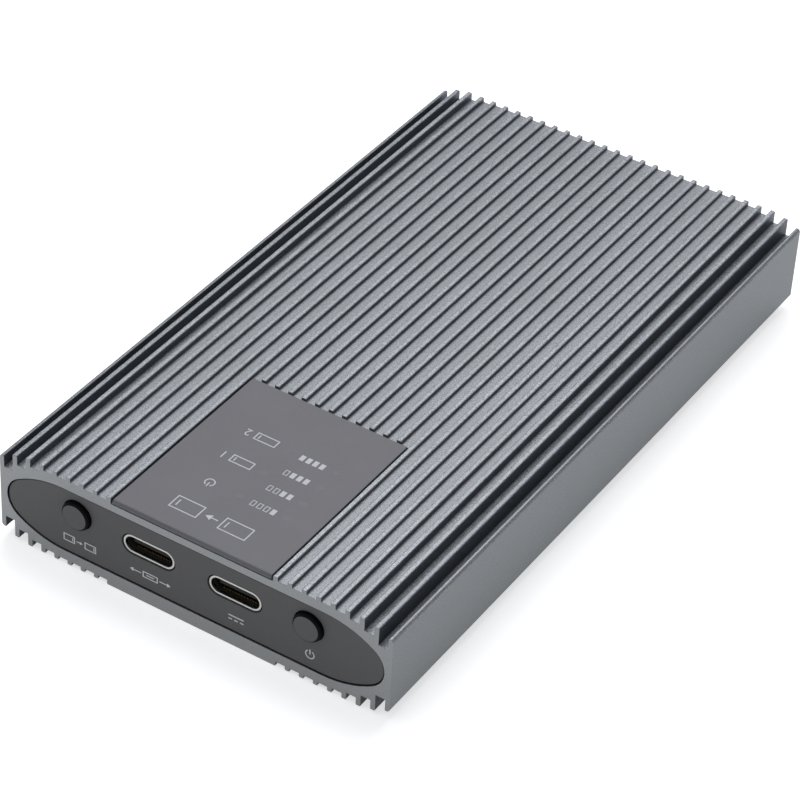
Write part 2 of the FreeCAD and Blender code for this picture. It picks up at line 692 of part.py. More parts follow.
# Flat parts soldered on the board: centre x, centre behind the port end, width, length, height
CONTROLLER = [(-9.5, 17.0, 11.0, 11.0, 1.2)]
BRIDGE_CHIPS = [(-20.5, 19.5, 6.5, 6.5, 0.9), (17.2, 21.8, 6.5, 6.5, 0.9)]
INDUCTORS = [
    (BOARD_HALF_W - 11.8, 13.2, 4.2, 4.2, 2.1),
    (BOARD_HALF_W - 5.2, 14.8, 4.2, 4.2, 2.1),
]
CAPACITORS = [
    (-20.0, 25.0, 2.0, 1.25, 1.0),
    (-16.0, 25.0, 2.0, 1.25, 1.0),
    (-20.0, 13.2, 3.5, 2.8, 1.9),
    (18.6, 10.1, 2.0, 1.25, 1.0),
    (23.4, 22.0, 1.25, 2.0, 1.0),
    (14.0, 26.6, 2.0, 1.25, 1.0),
]


def chip(x, back, w, length, h, edge):
    y = FRONT_Y + back
    part = box(x - w / 2, x + w / 2, y - length / 2, y + length / 2, BOARD_TOP, BOARD_TOP + h)
    top = [e for e in part.Edges if e.BoundBox.ZMin > BOARD_TOP + h - 1e-4]
    return part.makeChamfer(edge, top)


def chips(places, edge):
    return Part.Compound([chip(*place, edge) for place in places])


NODES = {
    "housing_sleeve": housing_sleeve,
    "indicator_plate": indicator_plate,
    "plate_tape": plate_tape,
    "light_pins": light_pins,
    "rear_panel": rear_panel,
    "rear_screws": rear_screws,
    "front_panel": front_panel,
    "tray": tray,
    "tray_nuts": tray_nuts,
    "panel_screws": panel_screws,
    "board_screws": board_screws,
    "main_board": main_board,
    "data_port_shell": lambda: port_shell(-PORT_X),
    "data_port_tongue": lambda: port_tongue(-PORT_X),
    "power_port_shell": lambda: port_shell(PORT_X),
    "power_port_tongue": lambda: port_tongue(PORT_X),
    "copy_button_cap": lambda: button_cap(-BUTTON_X),
    "copy_switch_plunger": lambda: switch_plunger(-BUTTON_X),
    "copy_switch": lambda: switch_body(-BUTTON_X),
    "power_button_cap": lambda: button_cap(BUTTON_X),
    "power_switch_plunger": lambda: switch_plunger(BUTTON_X),
    "power_switch": lambda: switch_body(BUTTON_X),
    "drive_socket_1": lambda: drive_socket(-BAY_X),
    "drive_socket_2": lambda: drive_socket(BAY_X),
    "drive_standoffs": drive_standoffs,
    "drive_thermal_pads": drive_thermal_pads,
    "board_thermal_pad": board_thermal_pad,
    "light_block": light_block,
    "status_leds": status_leds,
    "controller_chip": lambda: chips(CONTROLLER, 0.15),
    "bridge_chips": lambda: chips(BRIDGE_CHIPS, 0.1),
    "power_inductors": lambda: chips(INDUCTORS, 0.4),
    "capacitors": lambda: chips(CAPACITORS, 0.12),
}

os.makedirs("parts", exist_ok=True)
for name, make in NODES.items():
    make().exportStep("parts/" + name + ".step")
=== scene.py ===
import math

import bmesh
import bpy
from mathutils import Matrix, Quaternion, Vector


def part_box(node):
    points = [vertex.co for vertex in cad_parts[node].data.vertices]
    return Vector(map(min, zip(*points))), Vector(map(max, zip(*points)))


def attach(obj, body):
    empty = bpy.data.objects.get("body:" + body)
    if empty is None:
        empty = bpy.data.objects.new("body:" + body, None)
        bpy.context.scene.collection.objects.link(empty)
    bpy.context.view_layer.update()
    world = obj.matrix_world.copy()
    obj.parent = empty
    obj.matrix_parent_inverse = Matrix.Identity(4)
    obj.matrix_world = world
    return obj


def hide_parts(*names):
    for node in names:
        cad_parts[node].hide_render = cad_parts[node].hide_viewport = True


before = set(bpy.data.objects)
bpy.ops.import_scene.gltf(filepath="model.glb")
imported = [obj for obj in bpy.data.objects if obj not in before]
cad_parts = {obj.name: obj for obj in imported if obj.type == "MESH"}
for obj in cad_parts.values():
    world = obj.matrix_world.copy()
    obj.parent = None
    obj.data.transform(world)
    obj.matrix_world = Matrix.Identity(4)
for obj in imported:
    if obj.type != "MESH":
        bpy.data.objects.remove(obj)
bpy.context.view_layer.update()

# Housing sleeve. One length of extruded aluminium with fins all round and an oval bore, sawn to
# length, bead-blasted and anodised titanium grey. Every other piece is carried in it or on it.
MM = 0.001
FIRST, SECOND, MIXED = 6, 7, 2  # a Mix node's two colour inputs and its colour output
SLEEVE_EDGE = 0.05
BLAST_GRAIN = 0.18  # the real grain is about 0.1 mm, too fine to show, so it is drawn coarser
DIE_LINE_PITCH, DIE_LINE_LENGTH = 0.3, 9.0
TONE_PATCH = 14.0
TIP_LEVEL, TIP_FADE = 16.35, 0.2  # just under the flat fin tips, and the height of the change there
DEEP_LEVEL = 13.5  # in the deep grooves beside the outer walls
WALL_SKIN = 0.1  # faces within this of the sleeve's full width belong to its two outer walls
METAL = {"Metallic": 1.0}


def linear(hex_colour):
    """An sRGB colour such as "8E9399" as the linear colour that a node takes."""
    channels = [int(hex_colour[i:i + 2], 16) / 255 for i in (0, 2, 4)]
    return (*[c / 12.92 if c <= 0.04045 else ((c + 0.055) / 1.055) ** 2.4 for c in channels], 1.0)


def add(owner, kind, inputs=None, **settings):
    """Add a node to a material or world; an input takes a value or another node's output."""
    tree = owner.node_tree
    node = tree.nodes.new("ShaderNode" + kind)
    for setting, value in settings.items():
        setattr(node, setting, value)
    for socket, value in (inputs or {}).items():
        if isinstance(value, bpy.types.NodeSocket):
            tree.links.new(value, node.inputs[socket])
        else:
            node.inputs[socket].default_value = value
    return node


def mapped(owner, value, low, high, first=0.0, last=1.0):
    """A value brought from low..high to first..last, and held there beyond them."""
    node = add(owner, "MapRange", {"Value": value, "From Min": low, "From Max": high,
                                   "To Min": first, "To Max": last})
    return node.outputs["Result"]


def worked(owner, operation, *values):
    """The outcome of one Math operation."""
    return add(owner, "Math", dict(enumerate(values)), operation=operation).outputs["Value"]


def mixed(owner, mask, first, second):
    """A colour that goes from the first to the second as the mask goes from 0 to 1."""
    node = add(owner, "Mix", {"Factor": mask, FIRST: first, SECOND: second}, data_type="RGBA")
    return node.outputs[MIXED]


def grained(name, dark, light, grain, roughness, relief, stretch=(1, 1, 1), cut=(0.3, 0.7),
            plain=None):
    """A surface with one grain in its colour, gloss and height; grain and relief in mm.

    A narrower cut of the noise gives a crisper grain; plain holds the shader's constant values."""
    made = bpy.data.materials.new(name)
    made.use_nodes = True
    shader = made.node_tree.nodes["Principled BSDF"]
    for socket, value in (plain or {}).items():
        shader.inputs[socket].default_value = value
    place = add(made, "TexCoord", name="place")
    laid = add(made, "Mapping", {"Vector": place.outputs["Object"], "Scale": stretch})
    speck = add(made, "TexNoise", {"Vector": laid.outputs["Vector"], "Scale": 1 / (grain * MM),
                                   "Detail": 3, "Roughness": 0.6})
    spread = mapped(made, speck.outputs["Fac"], *cut)
    tone = mixed(made, spread, linear(dark), linear(light))
    gloss = mapped(made, spread, 0, 1, *roughness)
    height = add(made, "Bump", {"Height": speck.outputs["Fac"], "Distance": relief * MM,
                                "Strength": 1.0}, name="relief")
    made.node_tree.links.new(tone, shader.inputs["Base Color"])
    made.node_tree.links.new(gloss, shader.inputs["Roughness"])
    made.node_tree.links.new(height.outputs["Normal"], shader.inputs["Normal"])
    return made


def spot(material):
    """Where a point lies on its piece, as the material's patterns read it."""
    return material.node_tree.nodes["place"].outputs["Object"]


def patches(material, size, low, high, share, detail=2):
    """A mask of soft patches, about `size` mm wide, that reaches `share` at its fullest."""
    cloud = add(material, "TexNoise", {"Vector": spot(material), "Scale": 1 / (size * MM),
                                       "Detail": detail})
    return mapped(material, cloud.outputs["Fac"], low, high, last=share)


def beneath(material, low, high, share):
    """A mask that fades out upwards, from `share` at the height `low` to nothing at `high`, in mm."""
    level = add(material, "SeparateXYZ", {"Vector": spot(material)})
    return mapped(material, level.outputs["Z"], low * MM, high * MM, first=share, last=0.0)


def lay_over(material, mask, colour):
    """Put a colour over the surface's own wherever the mask is 1."""
    base = material.node_tree.nodes["Principled BSDF"].inputs["Base Color"]
    over = mixed(material, mask, base.links[0].from_socket, linear(colour))
    material.node_tree.links.new(over, base)


def roughen(material, pattern, relief):
    """Set a second relief, in mm, under the grain's own."""
    under = add(material, "Bump", {"Height": pattern, "Distance": relief * MM, "Strength": 1.0})
    grain = material.node_tree.nodes["relief"]
    material.node_tree.links.new(under.outputs["Normal"], grain.inputs["Normal"])


def choose(*pieces):
    """Make these the only selected pieces, and the first of them the active one."""
    if bpy.context.object and bpy.context.object.mode != "OBJECT":
        bpy.ops.object.mode_set(mode="OBJECT")
    bpy.ops.object.select_all(action="DESELECT")
    for piece in pieces:
        piece.select_set(True)
    if pieces:
        bpy.context.view_layer.objects.active = pieces[0]


def box_of(node):
    """A CAD node's box in mm: its lowest corner, highest corner and centre."""
    low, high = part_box(node)
    return low / MM, high / MM, (low + high) / 2 / MM


def edit(piece):
    """Enter edit mode on one piece, with all of it selected."""
    choose(piece)
    bpy.ops.object.mode_set(mode="EDIT")
    bpy.ops.mesh.select_all(action="SELECT")


def leave():
    """Leave edit mode with the faces turned outwards."""
    bpy.ops.mesh.select_all(action="SELECT")
    bpy.ops.mesh.normals_make_consistent(inside=False)
    bpy.ops.object.mode_set(mode="OBJECT")


def copy_of(node, name):
    """A CAD node's shape as a clean closed mesh: loose triangles joined, flat faces made whole."""
    piece = bpy.data.objects.new(name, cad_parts[node].data.copy())
    bpy.context.collection.objects.link(piece)
    piece.data.name = name
    piece.data.materials.clear()
    edit(piece)
    bpy.ops.mesh.customdata_custom_splitnormals_clear()
    bpy.ops.mesh.remove_doubles(threshold=0.001 * MM)
    bpy.ops.mesh.dissolve_limited(angle_limit=math.radians(0.5))
    leave()
    return piece


def use(piece, modifier):
    """Apply one modifier as it stands."""
    choose(piece)
    bpy.ops.object.modifier_apply(modifier=modifier.name)


def soften(piece, width, segments=2, sharper_than=35):
    """Round a piece's edges by `width` mm, as tumbling, blasting or a mould leaves them."""
    rounded = piece.modifiers.new("rounded", "BEVEL")
    rounded.width = width * MM
    rounded.segments = segments
    rounded.limit_method = "ANGLE"
    rounded.angle_limit = math.radians(sharper_than)
    use(piece, rounded)


def coat(piece, base, *others):
    """Finish a piece all over, then put each other finish on the faces that pass its test.

    A test is asked of each face's middle, in mm, and its normal."""
    for material in (base, *[other for other, test in others]):
        piece.data.materials.append(material)
    for face in piece.data.polygons:
        for number, (other, test) in enumerate(others, 1):
            if test(face.center / MM, face.normal):
                face.material_index = number


def settle(piece):
    """Bring a piece's place, turn and scale into its mesh."""
    choose(piece)
    bpy.ops.object.transform_apply(location=True, rotation=True, scale=True)


def finish(piece, material, slot, body, *stands_for):
    """Smooth a finished piece, hang it on the body it rides on, and hide the CAD nodes it stands for.

    The material is None on a piece that has its coats already."""
    settle(piece)
    bpy.ops.object.shade_smooth_by_angle(angle=math.radians(32))
    flatter = piece.modifiers.new("flat faces stay flat", "WEIGHTED_NORMAL")
    flatter.keep_sharp = True
    use(piece, flatter)
    if material:
        piece.data.materials.append(material)
    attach(piece, body)
    if stands_for:
        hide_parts(*stands_for)
    return piece


# Bead blasting leaves a fine sparkle of lit and unlit grains, the die leaves faint lines along
# the profile, and the dye takes a little unevenly. All below the top fins' tips is painted a
# shade darker, as painted shade for the grooves and the lower fins.
anodised = grained("bead_blasted_anodised_aluminium", "686B6E", "AEB1B4", grain=BLAST_GRAIN,
                   roughness=(0.42, 0.56), relief=0.011, cut=(0.36, 0.64), plain=METAL)
die_step = [1 / (length * MM) for length in (DIE_LINE_PITCH, DIE_LINE_LENGTH, DIE_LINE_PITCH)]
drawn = add(anodised, "Mapping", {"Vector": spot(anodised), "Scale": die_step})
die_lines = add(anodised, "TexNoise", {"Vector": drawn.outputs["Vector"], "Scale": 1.0, "Detail": 2})
roughen(anodised, die_lines.outputs["Fac"], relief=0.003)
lay_over(anodised, patches(anodised, TONE_PATCH, low=0.35, high=0.65, share=0.22), "848687")
# Painted shade: a darker tone laid over all below the top fins' tips.
lay_over(anodised, beneath(anodised, TIP_LEVEL, TIP_LEVEL + TIP_FADE, share=0.17), "3A3D42")
# The sawn ends are milled flat before anodising, so they are smooth and even in tone. The fins'
# flanks are a darker, bluer copy of the finish: painted shade for flanks turned away from the
# light, painted darker still deep down between the tall fins. The two flat outer walls take a
# finer grain.
milled_end = grained("milled_anodised_end", "949697", "A2A4A5", grain=0.3, roughness=(0.5, 0.58),
                     relief=0.003, plain=METAL)
flank_painted_shade = grained("sheltered_anodised_flank", "464B52", "8D939B", grain=BLAST_GRAIN,
                roughness=(0.42, 0.56), relief=0.008, plain=METAL)
# Painted shade: the flanks darken further down towards the deep grooves.
lay_over(flank_painted_shade, beneath(flank_painted_shade, DEEP_LEVEL, TIP_LEVEL, share=0.5), "1C1F24")
outer_wall = grained("fine_blasted_anodised_wall", "7A7D7F", "979A9C", grain=BLAST_GRAIN,
                     roughness=(0.46, 0.54), relief=0.006, plain=METAL)
outer_x = box_of("housing_sleeve")[1].x - WALL_SKIN
sleeve = copy_of("housing_sleeve", "finned_sleeve")
soften(sleeve, SLEEVE_EDGE, segments=1)
coat(sleeve, anodised,
     (milled_end, lambda at, normal: abs(normal.y) > 0.9),
     (flank_painted_shade, lambda at, normal: abs(normal.x) > 0.97 and abs(at.x) <= outer_x),
     (outer_wall, lambda at, normal: abs(normal.x) > 0.97 and abs(at.x) > outer_x))
finish(sleeve, None, "anodised_aluminium", "housing", "housing_sleeve")

# Indicator plate. Cut from smoked polycarbonate sheet with a satin face, and bonded into the pocket
# at the port end with thin foam tape; its windows look blank until the lights under them are on.
PLATE_EDGE = 0.12
HAZE_PATCH = 6.0
# The satin face has a low, even gloss, a very fine texture and faint handling marks. Its cut edge
# is duller, and painted a little darker: painted shade on the edges turned away from the light.
satin = grained("satin_smoked_polycarbonate", "5E5D61", "67666A", grain=0.2,
                roughness=(0.46, 0.56), relief=0.0015)
lay_over(satin, patches(satin, HAZE_PATCH, low=0.4, high=0.7, share=0.35, detail=4), "6A696D")
cut_edge_painted_shade = grained("cut_polycarbonate_edge", "5A5B5E", "646569", grain=0.2, roughness=(0.5, 0.6),
                   relief=0.002)
plate = copy_of("indicator_plate", "status_plate")
soften(plate, PLATE_EDGE, segments=3)
coat(plate, satin, (cut_edge_painted_shade, lambda at, normal: normal.z < 0.8))
finish(plate, None, "plate_plastic", "housing", "indicator_plate")

# Foam tape under the plate. Die cut from black acrylic foam, thin and sticky on both faces; its
# open pores leave it soft and dull.
foam_tape = grained("black_foam_tape", "1B1B1D", "26262A", grain=0.4, roughness=(0.6, 0.75),
                    relief=0.01)
tape = copy_of("plate_tape", "adhesive_tape")
finish(tape, foam_tape, "mounting_tape", "housing", "plate_tape")

# Light pins. Clear polycarbonate rods pressed through the sleeve's wall under each window, with a
# broken edge at both ends. They carry the light from the block below.
PIN_EDGE = 0.06


def dressed(node, name, edge, material, slot, body, segments=2):
    """A CAD node's shape as one finished piece of one material, its edges rounded by `edge` mm."""
    piece = copy_of(node, name)
    soften(piece, edge, segments)
    return finish(piece, material, slot, body, node)


# Clear and glossy: the pin shows what is behind it, with bright rims and a trace of flow marks.
clear = grained("clear_moulded_polycarbonate", "E6E9EA", "F2F4F4", grain=0.8,
                roughness=(0.05, 0.12), relief=0.001,
                plain={"Transmission Weight": 0.9, "IOR": 1.58})
dressed("light_pins", "light_pins_clear", PIN_EDGE, clear, "clear_polycarbonate", "housing")

# Indicator windows. Round spots of tinted lacquer, screen-printed on the plate over each light pin,
# three in the status column and four in the level column.
WINDOW_R = 0.7
WINDOW_RISE = 0.012
WINDOW_EDGE = 0.05


def start(primitive, name, scale=(1, 1, 1), **place):
    """Add a primitive at its size and place, in metres, and bring them into its mesh."""
    choose()
    primitive(**place)
    piece = bpy.context.object
    piece.scale = scale  # set here, because a plane and a circle are added without it
    piece.name = name
    piece.data.name = name
    settle(piece)
    return piece


def turned(name, foot, steps, around):
    """An upright round piece, built up from its foot; each step is (radius, height) in mm."""
    middle = Vector(foot) * MM
    piece = start(bpy.ops.mesh.primitive_circle_add, name, vertices=around,
                  radius=steps[0][0] * MM, fill_type="NGON", location=middle)
    edit(piece)
    for (radius, height), (next_radius, next_height) in zip(steps, steps[1:]):
        rise = Vector((0, 0, (next_height - height) * MM))
        middle += rise
        bpy.ops.mesh.extrude_region_move(TRANSFORM_OT_translate={"value": rise})
        bpy.ops.transform.resize(value=(next_radius / radius,) * 3, center_override=middle)
    leave()
    return piece


def copies(piece, places):
    """Copies of a piece that was modelled at the origin, each with its own mesh, at places in mm."""
    made = []
    for place in places:
        one = piece.copy()
        one.data = piece.data.copy()
        bpy.context.collection.objects.link(one)
        one.location = Vector(place) * MM
        settle(one)
        made.append(one)
    bpy.data.objects.remove(piece)
    return made


def join(name, pieces):
    """Make several meshes one piece."""
    choose(*pieces)
    if len(pieces) > 1:
        bpy.ops.object.join()
    joined = bpy.context.object
    joined.name = name
    joined.data.name = name
    return joined


def span(piece):
    """A piece's lowest corner, highest corner and centre, in mm."""
    points = [point.co for point in piece.data.vertices]
    low = Vector([min(p[i] for p in points) for i in range(3)]) / MM
    high = Vector([max(p[i] for p in points) for i in range(3)]) / MM
    return low, high, (low + high) / 2


def solids(node, name):
    """Each solid of a CAD node as a piece of its own, in order of x, then y."""
    edit(copy_of(node, name))
    bpy.ops.mesh.separate(type="LOOSE")
    bpy.ops.object.mode_set(mode="OBJECT")
    return sorted(bpy.context.selected_objects, key=lambda p: tuple(round(c, 6) for c in span(p)[2]))


def spans_of(node):
    """The span of each solid of a CAD node."""
    found = solids(node, "measured")
    spans = [span(piece) for piece in found]
    for piece in found:
        bpy.data.objects.remove(piece)
    return spans


# The lacquer is in the plate's own grey, a shade darker and glossier, so an unlit window hardly
# shows.
window_lacquer = grained("tinted_window_lacquer", "59585C", "5F5E62", grain=0.3,
                         roughness=(0.36, 0.42), relief=0.0005)
plate_top = box_of("indicator_plate")[1].z
windows = [mid for low, high, mid in spans_of("light_pins")]
status_windows, level_windows = windows[:3], windows[3:]  # each column from the port end on
disc = turned("window", (0, 0, 0), [(WINDOW_R, 0), (WINDOW_R, WINDOW_RISE / 2),
                                    (WINDOW_R - WINDOW_EDGE, WINDOW_RISE)], around=32)
finish(join("indicator_windows", copies(disc, [(mid.x, mid.y, plate_top) for mid in windows])),
       window_lacquer, "plate_plastic", "housing")

# Printed marks on the plate. Pad-printed in one pass of opaque ink: pictograms and plain digits
# that say what each window is for. Each is drawn flat in mm, then laid on the plate.
INK = 0.02  # printed ink is about 0.01 mm thick, and is drawn at twice that to stand clear
STROKE, THIN_STROKE = 0.2, 0.13
DIGIT_H = 1.55
CAPITAL = 0.72  # a capital's height, as a share of the type's size
STATUS_SIGN_GAP, LEVEL_SIGN_GAP = 2.1, 2.0  # from a window's middle to where its signs start
DIGIT_SHIFT, POWER_SHIFT = 5.0, 2.9  # from there to the middle of a digit, and of the power sign
STATUS_STICK_L, STATUS_STICK_W = 3.6, 1.5
STEP_W, STEP_H, STEP_PITCH, STEPS = 0.62, 1.08, 1.15, 4
COPY_SIGN_X, COPY_SIGN_Y = 0.1, 54.9
ARROW_SHARE = 0.55  # of the gap between the two sticks of a copy sign
CONNECTOR_AT, CONNECTOR_HALF = 0.84, 0.22  # along a stick's length, and as a share of its width
RING_OPENING = 0.45  # half the opening of the power sign's ring, in radii
POWER_FOOT, POWER_TOP = 0.15, 1.05  # where its stroke ends, in radii above the ring's middle


def pick(piece, test):
    """In edit mode, select the faces whose middle (mm) and normal pass the test."""
    bpy.ops.mesh.select_mode(type="FACE")
    bpy.ops.mesh.select_all(action="DESELECT")
    shape = bmesh.from_edit_mesh(piece.data)
    for face in shape.faces:
        face.select_set(test(face.calc_center_median() / MM, face.normal))
    shape.select_flush_mode()
    bmesh.update_edit_mesh(piece.data)


def bar(x0, y0, x1, y1, stroke=STROKE):
    """A level or upright stroke between two points, or a filled rectangle between two corners.

    It reaches half a stroke beyond them all round."""
    return start(bpy.ops.mesh.primitive_plane_add, "bar", size=1,
                 location=Vector(((x0 + x1) / 2, (y0 + y1) / 2, 0)) * MM,
                 scale=((abs(x1 - x0) + stroke) * MM, (abs(y1 - y0) + stroke) * MM, 1))


def hollow(flat, stroke):
    """Cut a flat shape open, so that only a stroke along its rim is left."""
    edit(flat)
    bpy.ops.mesh.inset(thickness=stroke * MM, depth=0)
    bpy.ops.mesh.delete(type="FACE")
    bpy.ops.object.mode_set(mode="OBJECT")
    return flat


def ring(x, y, radius, stroke, around):
    """A ring round a point, its stroke inside its radius."""
    disc = start(bpy.ops.mesh.primitive_circle_add, "ring", vertices=around, radius=radius * MM,
                 fill_type="NGON", location=(x * MM, y * MM, 0))
    return hollow(disc, stroke)


def outline(x0, y0, x1, y1, stroke=STROKE):
    """A rectangle drawn in one closed stroke, centred on its four sides."""
    return hollow(bar(x0, y0, x1, y1, stroke), stroke)


def arrow(x0, x1, y, head, stroke=STROKE):
    """A level arrow from x0 to x1 with a filled head, whose half width is given."""
    way = math.copysign(1, x1 - x0)
    corner = head * 2 / 3 ** 0.5  # from the middle of an even triangle to its corners
    tip = start(bpy.ops.mesh.primitive_circle_add, "head", vertices=3, radius=corner * MM,
                fill_type="NGON", location=((x1 - way * corner) * MM, y * MM, 0),
                rotation=(0, 0, -way * math.pi / 2))
    return [bar(x0, y, x1 - way * (corner * 1.5 + stroke / 2), y, stroke), tip]


def drive_sign(x, y, length, width, stroke=STROKE):
    """A drive stick seen from above, from x on: its outline and a line for its edge connector."""
    line_x = x + CONNECTOR_AT * length
    half = CONNECTOR_HALF * width
    return [outline(x, y - width / 2, x + length, y + width / 2, stroke),
            bar(line_x, y - half, line_x, y + half, stroke)]


def copy_sign(x, y, length, width, gap, head, stroke=STROKE):
    """One drive copied to another: two drive signs about x, with an arrow in the gap."""
    reach = gap * ARROW_SHARE / 2
    return (drive_sign(x - gap / 2 - length, y, length, width, stroke)
            + arrow(x - reach, x + reach, y, head, stroke)
            + drive_sign(x + gap / 2, y, length, width, stroke))


def power_sign(x, y, radius, stroke=STROKE):
    """The usual power sign: a ring open at the top with an upright stroke in the opening."""
    hoop = ring(x, y, radius, stroke, around=48)
    edit(hoop)
    pick(hoop, lambda at, normal: abs(at.x - x) < radius * RING_OPENING and at.y > y)
    bpy.ops.mesh.delete(type="FACE")
    bpy.ops.object.mode_set(mode="OBJECT")
    return [hoop, bar(x, y + radius * POWER_FOOT, x, y + radius * POWER_TOP, stroke)]


def digit(number, x, y, tall):
    """A plain digit of a height in mm, made a flat mesh."""
    choose()
    bpy.ops.object.text_add(location=(0, 0, 0))
    letter = bpy.context.object
    letter.data.body = str(number)
    letter.data.size = tall / CAPITAL * MM
    letter.data.resolution_u = 4
    letter.data.align_x = "CENTER"
    letter.data.align_y = "CENTER"
    bpy.ops.object.convert(target="MESH")
    letter = bpy.context.object
    letter.location = (x * MM, y * MM, 0)
    settle(letter)
    return letter


def thicken(flat, thickness):
    """Raise a flat shape to a thickness in mm."""
    edit(flat)
    bpy.ops.mesh.extrude_region_move(TRANSFORM_OT_translate={"value": (0, 0, thickness * MM)})
    leave()
    return flat


def print_on(name, strokes, face, ink, slot, body):
    """Lay a flat drawing on a face, which is given by a point of it and the drawing's own axes."""
    mark = thicken(join(name, strokes), INK)
    origin, right, up = [Vector(part) for part in face]
    mark.matrix_world = Matrix.LocRotScale(
        origin * MM, Matrix((right, up, right.cross(up))).transposed().to_quaternion(), None)
    return finish(mark, ink, slot, body)


# Silver ink prints a soft pale grey, with a trace of the flakes' sparkle. The plate's marks read
# from the far end, so that they stand upright for a user at the back.
silver_ink = grained("silver_pad_print_ink", "B4B4B8", "C6C6CA", grain=0.15, roughness=(0.4, 0.5),
                     relief=0.002)
plate_face = (0, 0, plate_top), (-1, 0, 0), (0, -1, 0)
sign_start = STATUS_SIGN_GAP - status_windows[0].x
status_signs = power_sign(sign_start + POWER_SHIFT, -status_windows[0].y, radius=0.85)
for bay, window in enumerate(status_windows[1:], 1):
    status_signs += drive_sign(sign_start, -window.y, STATUS_STICK_L, STATUS_STICK_W)
    status_signs.append(digit(bay, sign_start + DIGIT_SHIFT, -window.y, DIGIT_H))
print_on("status_marks", status_signs, plate_face, silver_ink, "plate_plastic", "housing")
level_signs = []
for full_steps, window in enumerate(level_windows, 1):
    for step in range(STEPS):
        draw = bar if step < full_steps else outline
        left = LEVEL_SIGN_GAP - window.x + step * STEP_PITCH
        level_signs.append(draw(left, -window.y - STEP_H / 2, left + STEP_W,
                                -window.y + STEP_H / 2, THIN_STROKE))
print_on("level_marks", level_signs, plate_face, silver_ink, "plate_plastic", "housing")
direction_sign = copy_sign(COPY_SIGN_X, COPY_SIGN_Y, length=4.6, width=2.6, gap=3.8, head=0.6)
print_on("copy_direction_mark", direction_sign, plate_face, silver_ink, "plate_plastic", "housing")

# Rear panel. A charcoal moulded oval that closes the far end, sunk just inside the bore, and held
# by two countersunk screws into the tray's nuts.
REAR_EDGE = 0.08
SINK_PATCH = 9.0
# The mould's fine grain leaves it half matt, and the plastic sinks a little unevenly as it cools,
# so its tone drifts.
charcoal = grained("charcoal_moulded_abs", "4B4B4B", "575757", grain=0.22, roughness=(0.5, 0.6),
                   relief=0.004)
lay_over(charcoal, patches(charcoal, SINK_PATCH, low=0.35, high=0.65, share=0.3), "555555")
dressed("rear_panel", "rear_end_panel", REAR_EDGE, charcoal, "panel_plastic", "housing")

# Rear screws. Cold-headed steel with a countersunk head and a punched cross recess, blackened in a
# hot oxide bath, screwed in from the rear.
RECESS_FOOT = 0.55  # the size of a recess's arms at the bottom, against their size at the top


def cut_away(piece, tool):
    """Cut a tool's shape out of a piece and clear the tool away."""
    cut = piece.modifiers.new("cut", "BOOLEAN")
    cut.operation = "DIFFERENCE"
    cut.solver = "EXACT"
    cut.object = tool
    use(piece, cut)
    bpy.data.objects.remove(tool)


def cross_recess(screw, centre, axis, reach, depth, width):
    """Cut a cross recess into a screw's head; the arms narrow towards the bottom."""
    for across, along in ((width, 2 * reach), (2 * reach, width)):
        arm = start(bpy.ops.mesh.primitive_cube_add, "arm", size=1,
                    scale=(across * MM, along * MM, 2 * depth * MM))
        edit(arm)
        pick(arm, lambda at, normal: normal.z < -0.9)
        bpy.ops.transform.resize(value=(RECESS_FOOT, RECESS_FOOT, 1), center_override=(0, 0, 0))
        leave()
        arm.rotation_euler = axis.to_track_quat("Z", "Y").to_euler()
        arm.location = centre * MM
        settle(arm)
        cut_away(screw, arm)


def cross_head_screws(node, name, axis, edge, reach, depth, width, segments=2):
    """A node's screws with broken edges and a cross recess, as one piece; heads towards the axis."""
    axis = Vector(axis)
    screws = solids(node, "screw")
    for screw in screws:
        low, high, mid = span(screw)
        soften(screw, edge, segments)
        cross_recess(screw, mid + axis * (high - mid).dot(axis), axis, reach, depth, width)
    return join(name, screws)


# Black oxide is dark and half glossy, with a little bare metal showing in its grain.
black_steel = grained("black_oxide_steel", "1E1E20", "34343A", grain=0.12, roughness=(0.32, 0.45),
                      relief=0.003, plain={"Metallic": 0.8})
finish(cross_head_screws("rear_screws", "rear_panel_screws", (0, 1, 0), edge=0.05, reach=1.15,
                         depth=0.85, width=0.42),
       black_steel, "black_steel", "housing", "rear_screws")

# Tray. Folded from 1 mm aluminium sheet and clear anodised; the board and the front panel are
# screwed to it, and the whole tray slides out of the sleeve.
TRAY_EDGE = 0.12
ROLLING = (1, 0.04, 1)  # the grain is drawn out along the tray
# Rolling leaves fine lines along the sheet, which catch the light as a soft directional sheen.
sheet_metal = grained("rolled_aluminium_sheet", "94979A", "ACAEB0", grain=0.3,
                      roughness=(0.36, 0.48), relief=0.003, stretch=ROLLING, plain=METAL)
dressed("tray", "slide_out_tray", TRAY_EDGE, sheet_metal, "tray_aluminium", "tray")

# Clinch nuts pressed into the tray's rear tabs, and the screws of the front panel and the board:
# small steel parts, barrel-plated with zinc. The screws have a cross recess.
NUT_EDGE = 0.1
# Zinc plating is pale and bright, a little cloudy in its gloss.
zinc = grained("zinc_plated_steel", "85878A", "A2A4A6", grain=0.15, roughness=(0.3, 0.42),
               relief=0.002, plain=METAL)
nuts = solids("tray_nuts", "tray_nut")
for nut in nuts:
    soften(nut, NUT_EDGE)
finish(join("clinch_nuts", nuts), zinc, "bright_steel", "tray", "tray_nuts")
finish(cross_head_screws("panel_screws", "front_panel_screws", (0, 1, 0), edge=0.12, reach=0.8,
                         depth=0.6, width=0.3),
       zinc, "bright_steel", "tray", "panel_screws")
finish(cross_head_screws("board_screws", "board_pan_screws", (0, 0, 1), edge=0.22, reach=0.95,
                         depth=0.7, width=0.34, segments=3),
       zinc, "bright_steel", "tray", "board_screws")

# Main board. Glass-epoxy laminate, routed and drilled, under a black solder mask; screwed down on
# the tray's four bosses.
BOARD_EDGE = 0.05
TRACK_PITCH = 1.1
TRACK_CELL = 2.4  # a block of tracks, in pitches
RINGS = 14.0  # how fast the tracks step outwards in a block
TRACK_TINT = 0.55
